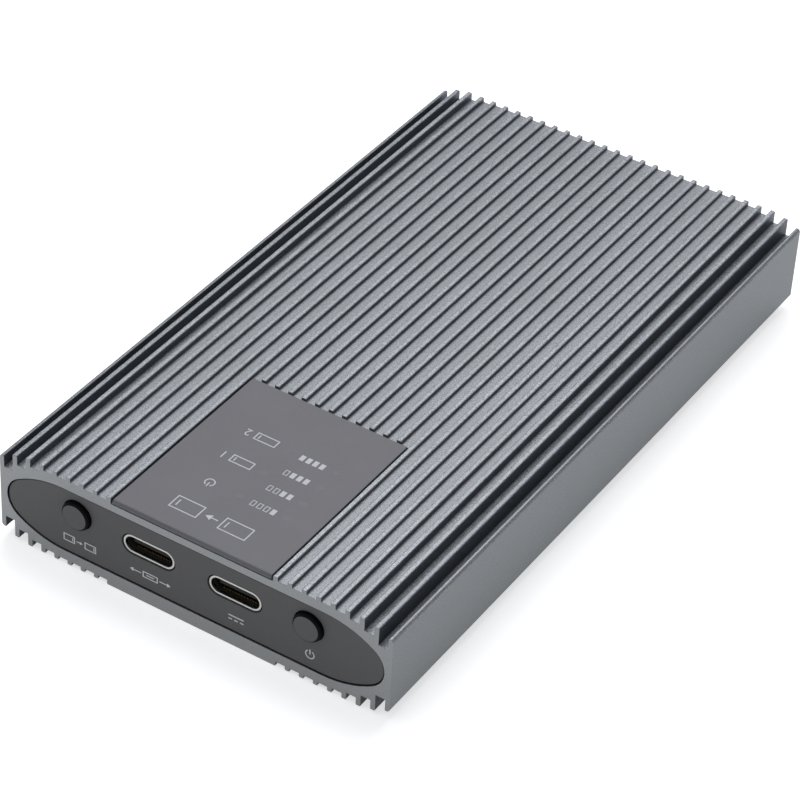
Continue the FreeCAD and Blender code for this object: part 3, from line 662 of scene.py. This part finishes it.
# The glossy mask is nearly black, and the copper shows through it as slightly raised tracks.
mask = grained("black_solder_mask_laminate", "101315", "191E20", grain=0.5, roughness=(0.22, 0.3),
               relief=0.002, plain={"Coat Weight": 0.25})
stepped = add(mask, "TexVoronoi", {"Vector": spot(mask), "Scale": 1 / (TRACK_PITCH * TRACK_CELL * MM),
                                   "Randomness": 1.0}, distance="CHEBYCHEV", feature="F1")
wave = worked(mask, "SINE", worked(mask, "MULTIPLY", stepped.outputs["Distance"], RINGS))
tracks = mapped(mask, wave, low=0.1, high=0.4)
roughen(mask, tracks, relief=0.03)
lay_over(mask, worked(mask, "MULTIPLY", tracks, TRACK_TINT), "1F2A28")
dressed("main_board", "main_board_laminate", BOARD_EDGE, mask, "board_laminate", "tray",
        segments=1)

# Lands and vias. Etched copper, plated with nickel and gold: a ring round each screw and standoff,
# and a field of vias at the board's corner.
LAND_T = 0.035
VIA_COLUMNS, VIA_ROWS = 9, 3
VIA_FROM = (2.5, 3.65)  # from the board's corner
VIA_PITCH, VIA_ROW_PITCH = 2.1, 0.9
VIA_SKEW, VIA_STAGGER = 0.35, 0.3


def washer(outer, inner):
    """A flat ring of plated copper about the origin, in mm."""
    return thicken(ring(0, 0, outer, outer - inner, around=40), LAND_T)


# The gold is thin and bright, so it shows the copper's fine grain as a soft warm glint.
gold = grained("electroplated_gold", "C79A45", "DDB25B", grain=0.12, roughness=(0.2, 0.32),
               relief=0.001, plain=METAL)
board_corner = box_of("main_board")[0]
board_top = box_of("main_board")[1].z
screw_places = [(mid.x, mid.y, board_top) for low, high, mid in spans_of("board_screws")]
post_places = [(mid.x, mid.y, board_top) for low, high, mid in spans_of("drive_standoffs")]
via_places = [(board_corner.x + VIA_FROM[0] + column * VIA_PITCH + row * VIA_SKEW,
               board_corner.y + VIA_FROM[1] + row * VIA_ROW_PITCH - column % 2 * VIA_STAGGER,
               board_top)
              for column in range(VIA_COLUMNS) for row in range(VIA_ROWS)]
lands = copies(washer(outer=1.78, inner=1.45), screw_places)
lands += copies(washer(outer=3.0, inner=2.55), post_places)
lands += copies(washer(outer=0.3, inner=0.15), via_places)
finish(join("board_gold_lands", lands), gold, "bright_steel", "tray")

# Legend. Screen-printed in white ink: an outline round each part on the board, and the number of
# each drive bay.
LEGEND_STROKE = 0.15
LEGEND_GAPS = {"controller_chip": 0.35, "bridge_chips": 0.35, "capacitors": 0.25,
               "power_inductors": 0.3}  # between a part and its outline
BAY_DIGIT_H = 2.2
BAY_DIGIT_DROP = 4.0
# The ink covers well and dries matt, an even warm white.
legend = grained("white_legend_ink", "CFCFCB", "E0E0DC", grain=0.15, roughness=(0.5, 0.6),
                 relief=0.002)
legend_strokes = [outline(low.x - gap, low.y - gap, high.x + gap, high.y + gap, LEGEND_STROKE)
                  for node, gap in LEGEND_GAPS.items() for low, high, mid in spans_of(node)]
for bay, (x, y, z) in enumerate(post_places, 1):
    legend_strokes.append(digit(bay, x, y - BAY_DIGIT_DROP, BAY_DIGIT_H))
board_face = (0, 0, board_top), (1, 0, 0), (0, 1, 0)
print_on("board_legend", legend_strokes, board_face, legend, "board_laminate", "tray")

# Drive sockets. Black moulded edge connectors, soldered to the board, with gold-plated spring
# contacts at half a millimetre pitch above and below the slot and a key rib across it.
SOCKET_EDGE = 0.1
CONTACT_PITCH, CONTACT_W, CONTACT_T = 0.5, 0.26, 0.12
CONTACT_BACK, CONTACT_FRONT = 3.4, 0.45  # their ends, in from the slot's mouth
SET_IN = 0.02  # how deep a contact lies in the plastic
SLOT_FLOOR, SLOT_ROOF = 2.35, 3.25  # above the board
ROW_HALF_W = 9.6
KEY_X, KEY_W = 6.1, 1.35
TAILS, TAIL_W, TAIL_T = 38, 0.2, 0.16
TAIL_OUT, TAIL_IN = 0.55, 0.1


def block(name, low, high):
    """A box between two corners, in mm."""
    low, high = Vector(low) * MM, Vector(high) * MM
    return start(bpy.ops.mesh.primitive_cube_add, name, size=1, location=(low + high) / 2,
                 scale=high - low)


def row_of(name, low, high, count, pitch, axis=0, edge=0.05):
    """A row of equal contacts with broken edges, the first between two corners in mm."""
    contact = block(name, low, high)
    soften(contact, edge, segments=1)
    repeat = contact.modifiers.new("row", "ARRAY")
    repeat.count = count
    repeat.use_relative_offset = False
    repeat.use_constant_offset = True
    repeat.constant_offset_displace = [pitch * MM if i == axis else 0 for i in range(3)]
    use(contact, repeat)
    return contact


# Glass fibres just under the skin leave the black nylon half matt, with faint paler specks.
black_moulded = grained("black_glass_filled_nylon", "161617", "222223", grain=0.25,
                        roughness=(0.42, 0.55), relief=0.004)
for bay in (1, 2):
    node = f"drive_socket_{bay}"
    low, high, mid = box_of(node)
    dressed(node, f"drive_edge_connector_{bay}", SOCKET_EDGE, black_moulded, "socket_plastic",
            "tray")
    first_x = mid.x - ROW_HALF_W
    contacts = []
    for z in (low.z + SLOT_FLOOR - SET_IN, low.z + SLOT_ROOF + SET_IN - CONTACT_T):
        for x, end_x in ((first_x, mid.x + KEY_X), (mid.x + KEY_X + KEY_W, mid.x + ROW_HALF_W)):
            contacts.append(row_of("contact", (x, high.y - CONTACT_BACK, z),
                                   (x + CONTACT_W, high.y - CONTACT_FRONT, z + CONTACT_T),
                                   int((end_x - x) / CONTACT_PITCH), CONTACT_PITCH))
    contacts.append(row_of("tail", (first_x, low.y - TAIL_OUT, low.z),
                           (first_x + TAIL_W, low.y + TAIL_IN, low.z + TAIL_T),
                           TAILS, CONTACT_PITCH))
    finish(join(f"drive_contacts_{bay}", contacts), gold, "bright_steel", "tray")

# Drive standoffs. Turned steel posts, zinc plated and reflowed to the board, one at the free end of
# each bay, tapped for the screw that holds a drive down.
STANDOFF_EDGE = 0.12
dressed("drive_standoffs", "threaded_standoffs", STANDOFF_EDGE, zinc, "bright_steel", "tray")

# Thermal pads. Soft grey-blue silicone sheets, die cut; the bay pads take the drives' heat to the
# board, the lower one takes it on to the tray.
PAD_EDGE = 0.3
LINEN = 6.0  # about three times the step from thread to thread
# The filler makes them dull and chalky, and their liner has pressed a fine linen weave into them.
silicone = grained("filled_silicone_sheet", "7E8C99", "8C9AA6", grain=0.9, roughness=(0.62, 0.75),
                   relief=0.02)
warp, weft = [add(silicone, "TexWave", {"Vector": spot(silicone), "Scale": 1 / (LINEN * MM),
                                        "Distortion": 0.4}, bands_direction=way) for way in "XY"]
linen = worked(silicone, "ADD", warp.outputs["Fac"], weft.outputs["Fac"])
roughen(silicone, linen, relief=0.012)
for node, name in (("drive_thermal_pads", "bay_heat_pads"), ("board_thermal_pad", "tray_heat_pad")):
    dressed(node, name, PAD_EDGE, silicone, "thermal_silicone", "tray", segments=3)

# Light block and lamps. A black moulded block keeps each lamp's light in its own well; the lamps
# are small white resin packages, soldered in the wells, each with a dished window of phosphor gel.
LIGHT_BLOCK_EDGE = 0.1
LAMP_RIM, LAMP_DISH, DISH_SLOPE = 0.1, 0.05, 0.03
dressed("light_block", "light_guide_block", LIGHT_BLOCK_EDGE, black_moulded, "socket_plastic",
        "tray")
# The resin is a clean, slightly glossy white, and the gel a glassy yellow.
resin = grained("white_led_resin", "DADAD4", "E8E8E2", grain=0.3, roughness=(0.3, 0.4),
                relief=0.002)
phosphor = grained("yellow_phosphor_gel", "D9B63A", "E6C95A", grain=0.1, roughness=(0.15, 0.2),
                   relief=0.002)
lamps = solids("status_leds", "status_lamp")
for lamp in lamps:
    edit(lamp)
    pick(lamp, lambda at, normal: normal.z > 0.9)
    bpy.ops.mesh.inset(thickness=LAMP_RIM * MM, depth=0)
    bpy.ops.mesh.inset(thickness=DISH_SLOPE * MM, depth=-LAMP_DISH * MM)
    leave()
    dish_z = span(lamp)[1].z - LAMP_DISH / 2
    coat(lamp, resin, (phosphor, lambda at, normal: normal.z > 0.9 and at.z < dish_z))
finish(join("status_lamps", lamps), None, "led_resin", "tray", "status_leds")

# Chips. Transfer-moulded black epoxy packages with a pin-one dimple, and a row of tinned lands that
# shows as a thin bright edge on each side, reflowed to the board.
CHIP_EDGE = 0.08
LEAD_PITCH = 0.5
LAND_SIDE, LAND_H, LAND_OUT = 0.2, 0.14, 0.12
CHIP_CORNER = 1.0  # the part of a side that is left without lands
DIMPLE_IN = 1.0  # from the package's corner
DIMPLE_DEPTH = 0.06
DIMPLE_STEPS = [(0.3, 0), (0.42, 0.12)]


def chip(piece):
    """Shape a flat package with its pin-one dimple, and return the lands along its four sides."""
    low, high, mid = span(piece)
    soften(piece, CHIP_EDGE)
    dimple = (low.x + DIMPLE_IN, high.y - DIMPLE_IN, high.z - DIMPLE_DEPTH)
    cut_away(piece, turned("dimple", dimple, DIMPLE_STEPS, around=24))
    edit(piece)
    bpy.ops.mesh.remove_doubles(threshold=0.002 * MM)
    bpy.ops.mesh.dissolve_degenerate(threshold=0.002 * MM)
    leave()
    count = int((high.x - low.x - CHIP_CORNER) / LEAD_PITCH)
    rows = []
    for axis, across in ((0, 1), (1, 0)):
        for edge in (low[across] - LAND_OUT, high[across] + LAND_OUT - LAND_SIDE):
            corner = Vector((0, 0, low.z))
            corner[axis] = mid[axis] - ((count - 1) * LEAD_PITCH + LAND_SIDE) / 2
            corner[across] = edge
            rows.append(row_of("land", corner, corner + Vector((LAND_SIDE, LAND_SIDE, LAND_H)),
                               count, LEAD_PITCH, axis))
    return rows


# The epoxy is a dull near-black with a fine sandy grain; the solder is bright and a little rippled.
epoxy = grained("moulded_chip_epoxy", "1F2022", "2B2C2E", grain=0.16, roughness=(0.45, 0.58),
                relief=0.003)
solder = grained("reflowed_tin_solder", "8E9092", "ABADAF", grain=0.2, roughness=(0.28, 0.4),
                 relief=0.004, plain=METAL)
chip_lands = []
for node, name in (("controller_chip", "copy_controller"), ("bridge_chips", "drive_bridge_chips")):
    packages = solids(node, "package")
    for package in packages:
        chip_lands += chip(package)
    finish(join(name, packages), epoxy, "chip_epoxy", "tray", node)
finish(join("chip_solder_lands", chip_lands), solder, "bright_steel", "tray")

# Power inductors. Iron powder pressed round the coil, with heavily rounded corners, and tinned
# copper straps folded round the ends and soldered to the board.
INDUCTOR_EDGE, STRAP_EDGE = 0.26, 0.05
STRAP_W, STRAP_T, STRAP_H, STRAP_OUT = 1.8, 0.18, 1.2, 0.06
# Pressed powder is rough and dark grey, with single grains that stand out.
ferrite = grained("pressed_iron_powder", "3C3D40", "4B4C50", grain=0.14, roughness=(0.55, 0.7),
                  relief=0.01)
inductors = solids("power_inductors", "inductor")
straps = []
for inductor in inductors:
    low, high, mid = span(inductor)
    soften(inductor, INDUCTOR_EDGE, segments=3)
    for x in (low.x - STRAP_OUT, high.x + STRAP_OUT - STRAP_T):
        strap = block("strap", (x, mid.y - STRAP_W / 2, low.z),
                      (x + STRAP_T, mid.y + STRAP_W / 2, low.z + STRAP_H))
        soften(strap, STRAP_EDGE)
        straps.append(strap)
finish(join("moulded_inductors", inductors), ferrite, "ferrite", "tray", "power_inductors")
finish(join("inductor_straps", straps), solder, "bright_steel", "tray")

# Capacitors. Stacked and fired ceramic blocks with dipped, slightly thicker tinned ends, soldered
# to the board.
CAPACITOR_EDGE = 0.07
END_SHARE = 0.24  # of the length, dipped at each end
DIP_T = 0.04
# Fired ceramic is an even tan with a low sheen.
ceramic = grained("fired_ceramic", "8D6F4E", "9C7E5B", grain=0.25, roughness=(0.35, 0.45),
                  relief=0.003)
capacitors = solids("capacitors", "capacitor")
for capacitor in capacitors:
    low, high, mid = span(capacitor)
    along = 0 if high.x - low.x > high.y - low.y else 1
    length = high[along] - low[along]
    direction = Vector((1, 0, 0)) if along == 0 else Vector((0, 1, 0))
    edit(capacitor)
    bare_half = (0.5 - END_SHARE) * length
    for way in (-1, 1):
        bpy.ops.mesh.select_all(action="SELECT")
        bpy.ops.mesh.bisect(plane_co=(mid + direction * bare_half * way) * MM, plane_no=direction)
    pick(capacitor, lambda at, normal: abs((at - mid)[along]) < bare_half and normal.z > -0.9)
    bpy.ops.transform.shrink_fatten(value=-DIP_T * MM)
    leave()
    coat(capacitor, ceramic, (solder, lambda at, normal: abs((at - mid)[along]) > bare_half))
    soften(capacitor, CAPACITOR_EDGE, sharper_than=50)
finish(join("chip_capacitors", capacitors), None, "ceramic_chip", "tray", "capacitors")

# Port shells. Each receptacle is a drawn stainless shell, soldered to the board by its legs; its
# rolled lip stands in the end panel's cut-out.
SHELL_EDGE = 0.09
LIP_L = 0.6
# Drawing leaves the steel satin, and the rolled lip is burnished to a higher gloss; the lip's pale
# colour is a painted highlight, the bright ring that its rim catches.
stainless = grained("drawn_stainless_steel", "8A8987", "9D9C9A", grain=0.2, roughness=(0.34, 0.44),
                    relief=0.002, plain=METAL)
lip_painted_highlight = grained("burnished_stainless_lip", "C6C5C1", "D8D7D3", grain=0.12,
                        roughness=(0.16, 0.28), relief=0.001, plain=METAL)
for port in ("data", "power"):
    node = f"{port}_port_shell"
    lip_y = box_of(node)[0].y + LIP_L
    shell = copy_of(node, f"{port}_receptacle_shell")
    edit(shell)
    bpy.ops.mesh.bisect(plane_co=(0, lip_y * MM, 0), plane_no=(0, 1, 0))
    leave()
    soften(shell, SHELL_EDGE, segments=3)
    coat(shell, stainless, (lip_painted_highlight, lambda at, normal: at.y < lip_y))
    finish(shell, None, "shell_steel", "tray", node)

# Port tongues. A thin black blade, moulded round twelve gold contacts on each face, stands inside
# each shell and carries them to the board.
BLADE_EDGE = 0.06
CONTACTS_A_SIDE = 12
BLADE_CONTACT_T, BLADE_CONTACT_EDGE = 0.05, 0.015
NOSE, ROOT = 0.45, 0.13  # what the contacts leave free at the blade's tip and root
# The polymer is nearly black and quite dull, which lets the gold stand out.
blade = grained("black_liquid_crystal_polymer", "0A0A0A", "121212", grain=0.2,
                roughness=(0.6, 0.7), relief=0.002)
for port in ("data", "power"):
    node = f"{port}_port_tongue"
    dressed(node, f"{port}_receptacle_tongue", BLADE_EDGE, blade, "contact_plastic", "tray")
    low, high, mid = box_of(node)
    left = mid.x - ((CONTACTS_A_SIDE - 1) * CONTACT_PITCH + CONTACT_W) / 2
    rows = [row_of("contact", (left, low.y + NOSE, z),
                   (left + CONTACT_W, high.y - ROOT, z + BLADE_CONTACT_T),
                   CONTACTS_A_SIDE, CONTACT_PITCH, edge=BLADE_CONTACT_EDGE)
            for z in (high.z - SET_IN, low.z + SET_IN - BLADE_CONTACT_T)]
    finish(join(f"{port}_tongue_contacts", rows), gold, "bright_steel", "tray")

# Switches and plungers. Side-push tactile switches on the board behind each button: a black body
# under a folded steel cover, with a brown moulded plunger that the button's stem pushes.
SWITCH_EDGE, COVER_EDGE, PLUNGER_EDGE = 0.1, 0.04, 0.1
COVER_GAP, COVER_T = 0.12, 0.1
COVER_BACK, COVER_DROP = 0.5, 1.1  # how far it stays back from the front and comes down the sides
# The nylon is a warm brown with a soft sheen.
plunger_brown = grained("brown_moulded_nylon", "4A372C", "59443A", grain=0.2, roughness=(0.4, 0.5),
                        relief=0.003)
for button in ("copy", "power"):
    node = f"{button}_switch"
    low, high, mid = box_of(node)
    dressed(node, f"{button}_switch_body", SWITCH_EDGE, black_moulded, "socket_plastic", "tray")
    cover = block(f"{button}_switch_cover",
                  (low.x - COVER_GAP, low.y + COVER_BACK, high.z - COVER_DROP),
                  (high.x + COVER_GAP, high.y + COVER_GAP, high.z + COVER_GAP))
    edit(cover)
    pick(cover, lambda at, normal: normal.y < -0.9 or normal.z < -0.9)
    bpy.ops.mesh.delete(type="FACE")
    bpy.ops.object.mode_set(mode="OBJECT")
    folded = cover.modifiers.new("sheet", "SOLIDIFY")
    folded.thickness = COVER_T * MM
    folded.offset = -1
    use(cover, folded)
    soften(cover, COVER_EDGE)
    finish(cover, stainless, "shell_steel", "tray")
    dressed(f"{button}_switch_plunger", f"{button}_plunger", PLUNGER_EDGE, plunger_brown,
            "plunger_plastic", f"{button}_button")

# Front panel. Moulded in the same charcoal plastic as the rear one, with round holes for the
# buttons and a cut-out for each port; it is screwed to the tray from behind and slides out with it.
PANEL_EDGE = 0.05
dressed("front_panel", "front_end_panel", PANEL_EDGE, charcoal, "panel_plastic", "tray")

# Buttons. Round caps moulded in the panel's plastic, with a soft rounded rim; a flange behind the
# panel keeps each one in, and its stem reaches the switch.
CAP_EDGE = 0.12
# The face has the panel's fine grain. The wall lies in the hole's shade, and is painted nearly
# black and barely reflective, as painted shade for the gap round the cap.
button_plastic = grained("button_moulded_abs", "494949", "555555", grain=0.22,
                         roughness=(0.48, 0.58), relief=0.004)
cap_wall_painted_shade = grained("button_wall_moulded_abs", "060606", "0B0B0B", grain=0.2, roughness=(0.5, 0.6),
                   relief=0.001, plain={"Specular IOR Level": 0.08})
for button in ("copy", "power"):
    cap = copy_of(f"{button}_button_cap", f"{button}_button")
    soften(cap, CAP_EDGE, segments=3)
    coat(cap, button_plastic, (cap_wall_painted_shade, lambda at, normal: abs(normal.y) < 0.97))
    finish(cap, None, "button_plastic", f"{button}_button", f"{button}_button_cap")

# Printed marks on the panel. Pad-printed like those on the plate, in a paler ink: copy from drive
# to drive, data, power in, and on or off, each under what it names.
SIGN_Z = 5.2
SIGN_SHIFT = 0.35  # the signs stand a little right of what they name
PLUG_HALF_W, PLUG_HALF_H, PLUG_TONGUE = 1.25, 0.48, 0.6
ARROW_FROM, ARROW_TO, ARROW_HEAD = 1.7, 3.6, 0.36
LONG_BAR, LONG_BAR_RISE = 1.2, 0.22
SHORT_BAR, SHORT_BAR_DROP, SHORT_BAR_PITCH = 0.21, 0.45, 0.99


def data_sign(x, y, stroke):
    """Data in and out: a plug's outline with its tongue, and an arrow away from it each way."""
    return ([outline(x - PLUG_HALF_W, y - PLUG_HALF_H, x + PLUG_HALF_W, y + PLUG_HALF_H, stroke),
             bar(x - PLUG_TONGUE, y, x + PLUG_TONGUE, y, stroke)]
            + arrow(x - ARROW_FROM, x - ARROW_TO, y, ARROW_HEAD, stroke)
            + arrow(x + ARROW_FROM, x + ARROW_TO, y, ARROW_HEAD, stroke))


def direct_current_sign(x, y, stroke):
    """The usual sign for direct current: a long bar over three short ones."""
    top, foot = y + LONG_BAR_RISE, y - SHORT_BAR_DROP
    middles = (x - SHORT_BAR_PITCH, x, x + SHORT_BAR_PITCH)
    return ([bar(x - LONG_BAR, top, x + LONG_BAR, top, stroke)]
            + [bar(at - SHORT_BAR, foot, at + SHORT_BAR, foot, stroke) for at in middles])


# Pale ink prints an even light grey, a little glossier than the panel's grain.
pale_ink = grained("pale_pad_print_ink", "D0D0D0", "DEDEDE", grain=0.15, roughness=(0.45, 0.55),
                   relief=0.002)
panel_face = (0, box_of("front_panel")[0].y, 0), (1, 0, 0), (0, 0, 1)
copy_x, data_x, supply_x, power_x = [
    box_of(node)[2].x + SIGN_SHIFT
    for node in ("copy_button_cap", "data_port_shell", "power_port_shell", "power_button_cap")]
panel_signs = {
    "copy_button_mark": copy_sign(copy_x, SIGN_Z, length=1.9, width=1.15, gap=1.9, head=0.3,
                                  stroke=0.16),
    "data_port_mark": data_sign(data_x, SIGN_Z, stroke=0.17),
    "power_port_mark": direct_current_sign(supply_x, SIGN_Z, stroke=STROKE),
    "power_button_mark": power_sign(power_x, SIGN_Z, radius=0.8, stroke=0.18),
}
for name, strokes in panel_signs.items():
    print_on(name, strokes, panel_face, pale_ink, "panel_plastic", "tray")

# Floor. A plain pale studio table, well wider than any view of the part. It looks white to the
# camera and pale in reflections, keeps the part's shadow, and fades to full white farther out.
FLOOR_SIDE = 6  # metres
FLOOR_DROP = 0.02
FLOOR_GLOW, MIRRORED_GLOW = 0.6, 0.3
FADE_FROM, FADE_TO = 250, 700  # distances from the part's middle
floor = start(bpy.ops.mesh.primitive_plane_add, "studio_floor", size=FLOOR_SIDE,
              location=(0, 0, -FLOOR_DROP * MM))
edit(floor)
bpy.ops.mesh.subdivide(number_cuts=3)
leave()
# Painted board: matt, nearly white, with slow drifts of tone that keep it from looking drawn.
pale = grained("pale_studio_table", "DEDEDE", "E4E4E4", grain=40, roughness=(0.75, 0.85),
               relief=0.0)
seen = add(pale, "LightPath")
direct = worked(pale, "MAXIMUM", seen.outputs["Is Camera Ray"],
                seen.outputs["Is Transmission Ray"])
away = add(pale, "VectorMath", {0: spot(pale)}, operation="LENGTH")
fade = mapped(pale, away.outputs["Value"], FADE_FROM * MM, FADE_TO * MM, first=FLOOR_GLOW)
plain = worked(pale, "MULTIPLY", direct, fade)
mirrored = worked(pale, "MULTIPLY", seen.outputs["Is Glossy Ray"], MIRRORED_GLOW)
lit = worked(pale, "MAXIMUM", plain, mirrored)
glow = add(pale, "Emission", {"Color": linear("FFFFFF"), "Strength": lit})
both = add(pale, "AddShader", {0: pale.node_tree.nodes["Principled BSDF"].outputs["BSDF"],
                               1: glow.outputs["Emission"]})
pale.node_tree.links.new(both.outputs["Shader"],
                         pale.node_tree.nodes["Material Output"].inputs["Surface"])
floor.data.materials.append(pale)

# Soft boxes. A large one behind and to the left gives the fins' tops their sheen, and a second one
# overhead lifts the faces. Each has its direction, distance and size in metres, radiance and tint.
SOFTBOXES = {
    "key_softbox": ((-0.17, 0.45, 0.88), 0.80, 0.60, 3.8, "FBFCFF"),
    "top_softbox": ((-0.30, -0.45, 1.0), 0.80, 0.50, 1.3, "FFFFFF"),
}
for name, (direction, distance, size, radiance, tint) in SOFTBOXES.items():
    light = bpy.data.lights.new(name, "AREA")
    light.shape = "SQUARE"
    light.size = size
    light.energy = radiance * math.pi * size * size  # the power that gives it this radiance
    light.color = linear(tint)[:3]
    softbox = bpy.data.objects.new(name, light)
    bpy.context.collection.objects.link(softbox)
    back = Vector(direction).normalized()
    softbox.location = back * distance
    softbox.rotation_euler = back.to_track_quat("Z", "Y").to_euler()
    softbox.visible_camera = False

# Room. Pale near the floor and dim and bluish above, as a studio is; the camera itself sees a white
# backdrop.
LOW_WALL, HIGH_WALL = 0.1, 0.45  # the rise of a line of sight where the dimming starts and ends
DIM = 0.27
room = bpy.data.worlds.new("studio_room")
bpy.context.scene.world = room
room.use_nodes = True
look = add(room, "TexCoord")
split = add(room, "SeparateXYZ", {"Vector": look.outputs["Generated"]})
rise = mapped(room, split.outputs["Z"], LOW_WALL, HIGH_WALL, first=1.0, last=DIM)
ray = add(room, "LightPath")
bright = worked(room, "MAXIMUM", rise, ray.outputs["Is Camera Ray"])
hue = mixed(room, bright, linear("EAF0FF"), linear("FFFFFF"))
backdrop = room.node_tree.nodes["Background"]
room.node_tree.links.new(bright, backdrop.inputs["Strength"])
room.node_tree.links.new(hue, backdrop.inputs["Color"])

# Camera. A long lens from the front right, looking down on the part at 38 degrees.
CAMERA_AT = (201.53, -342.88, 317.62)
CAMERA_AIM = (-3.82, 1.19, 0.0)
CAMERA_ROLL = 3.42
CAMERA_LENS = 147.37
camera = bpy.data.objects.new("camera", bpy.data.cameras.new("camera"))
bpy.context.collection.objects.link(camera)
camera.data.lens = CAMERA_LENS
camera.data.sensor_width = 36.0
camera.location = Vector(CAMERA_AT) * MM
sight = (Vector(CAMERA_AIM) - Vector(CAMERA_AT)).to_track_quat("-Z", "Y")
camera.rotation_mode = "QUATERNION"
camera.rotation_quaternion = sight @ Quaternion((0, 0, 1), math.radians(CAMERA_ROLL))
camera.data.clip_start = 0.01
camera.data.clip_end = 20
bpy.context.scene.camera = camera
bpy.context.scene.view_settings.view_transform = "Standard"
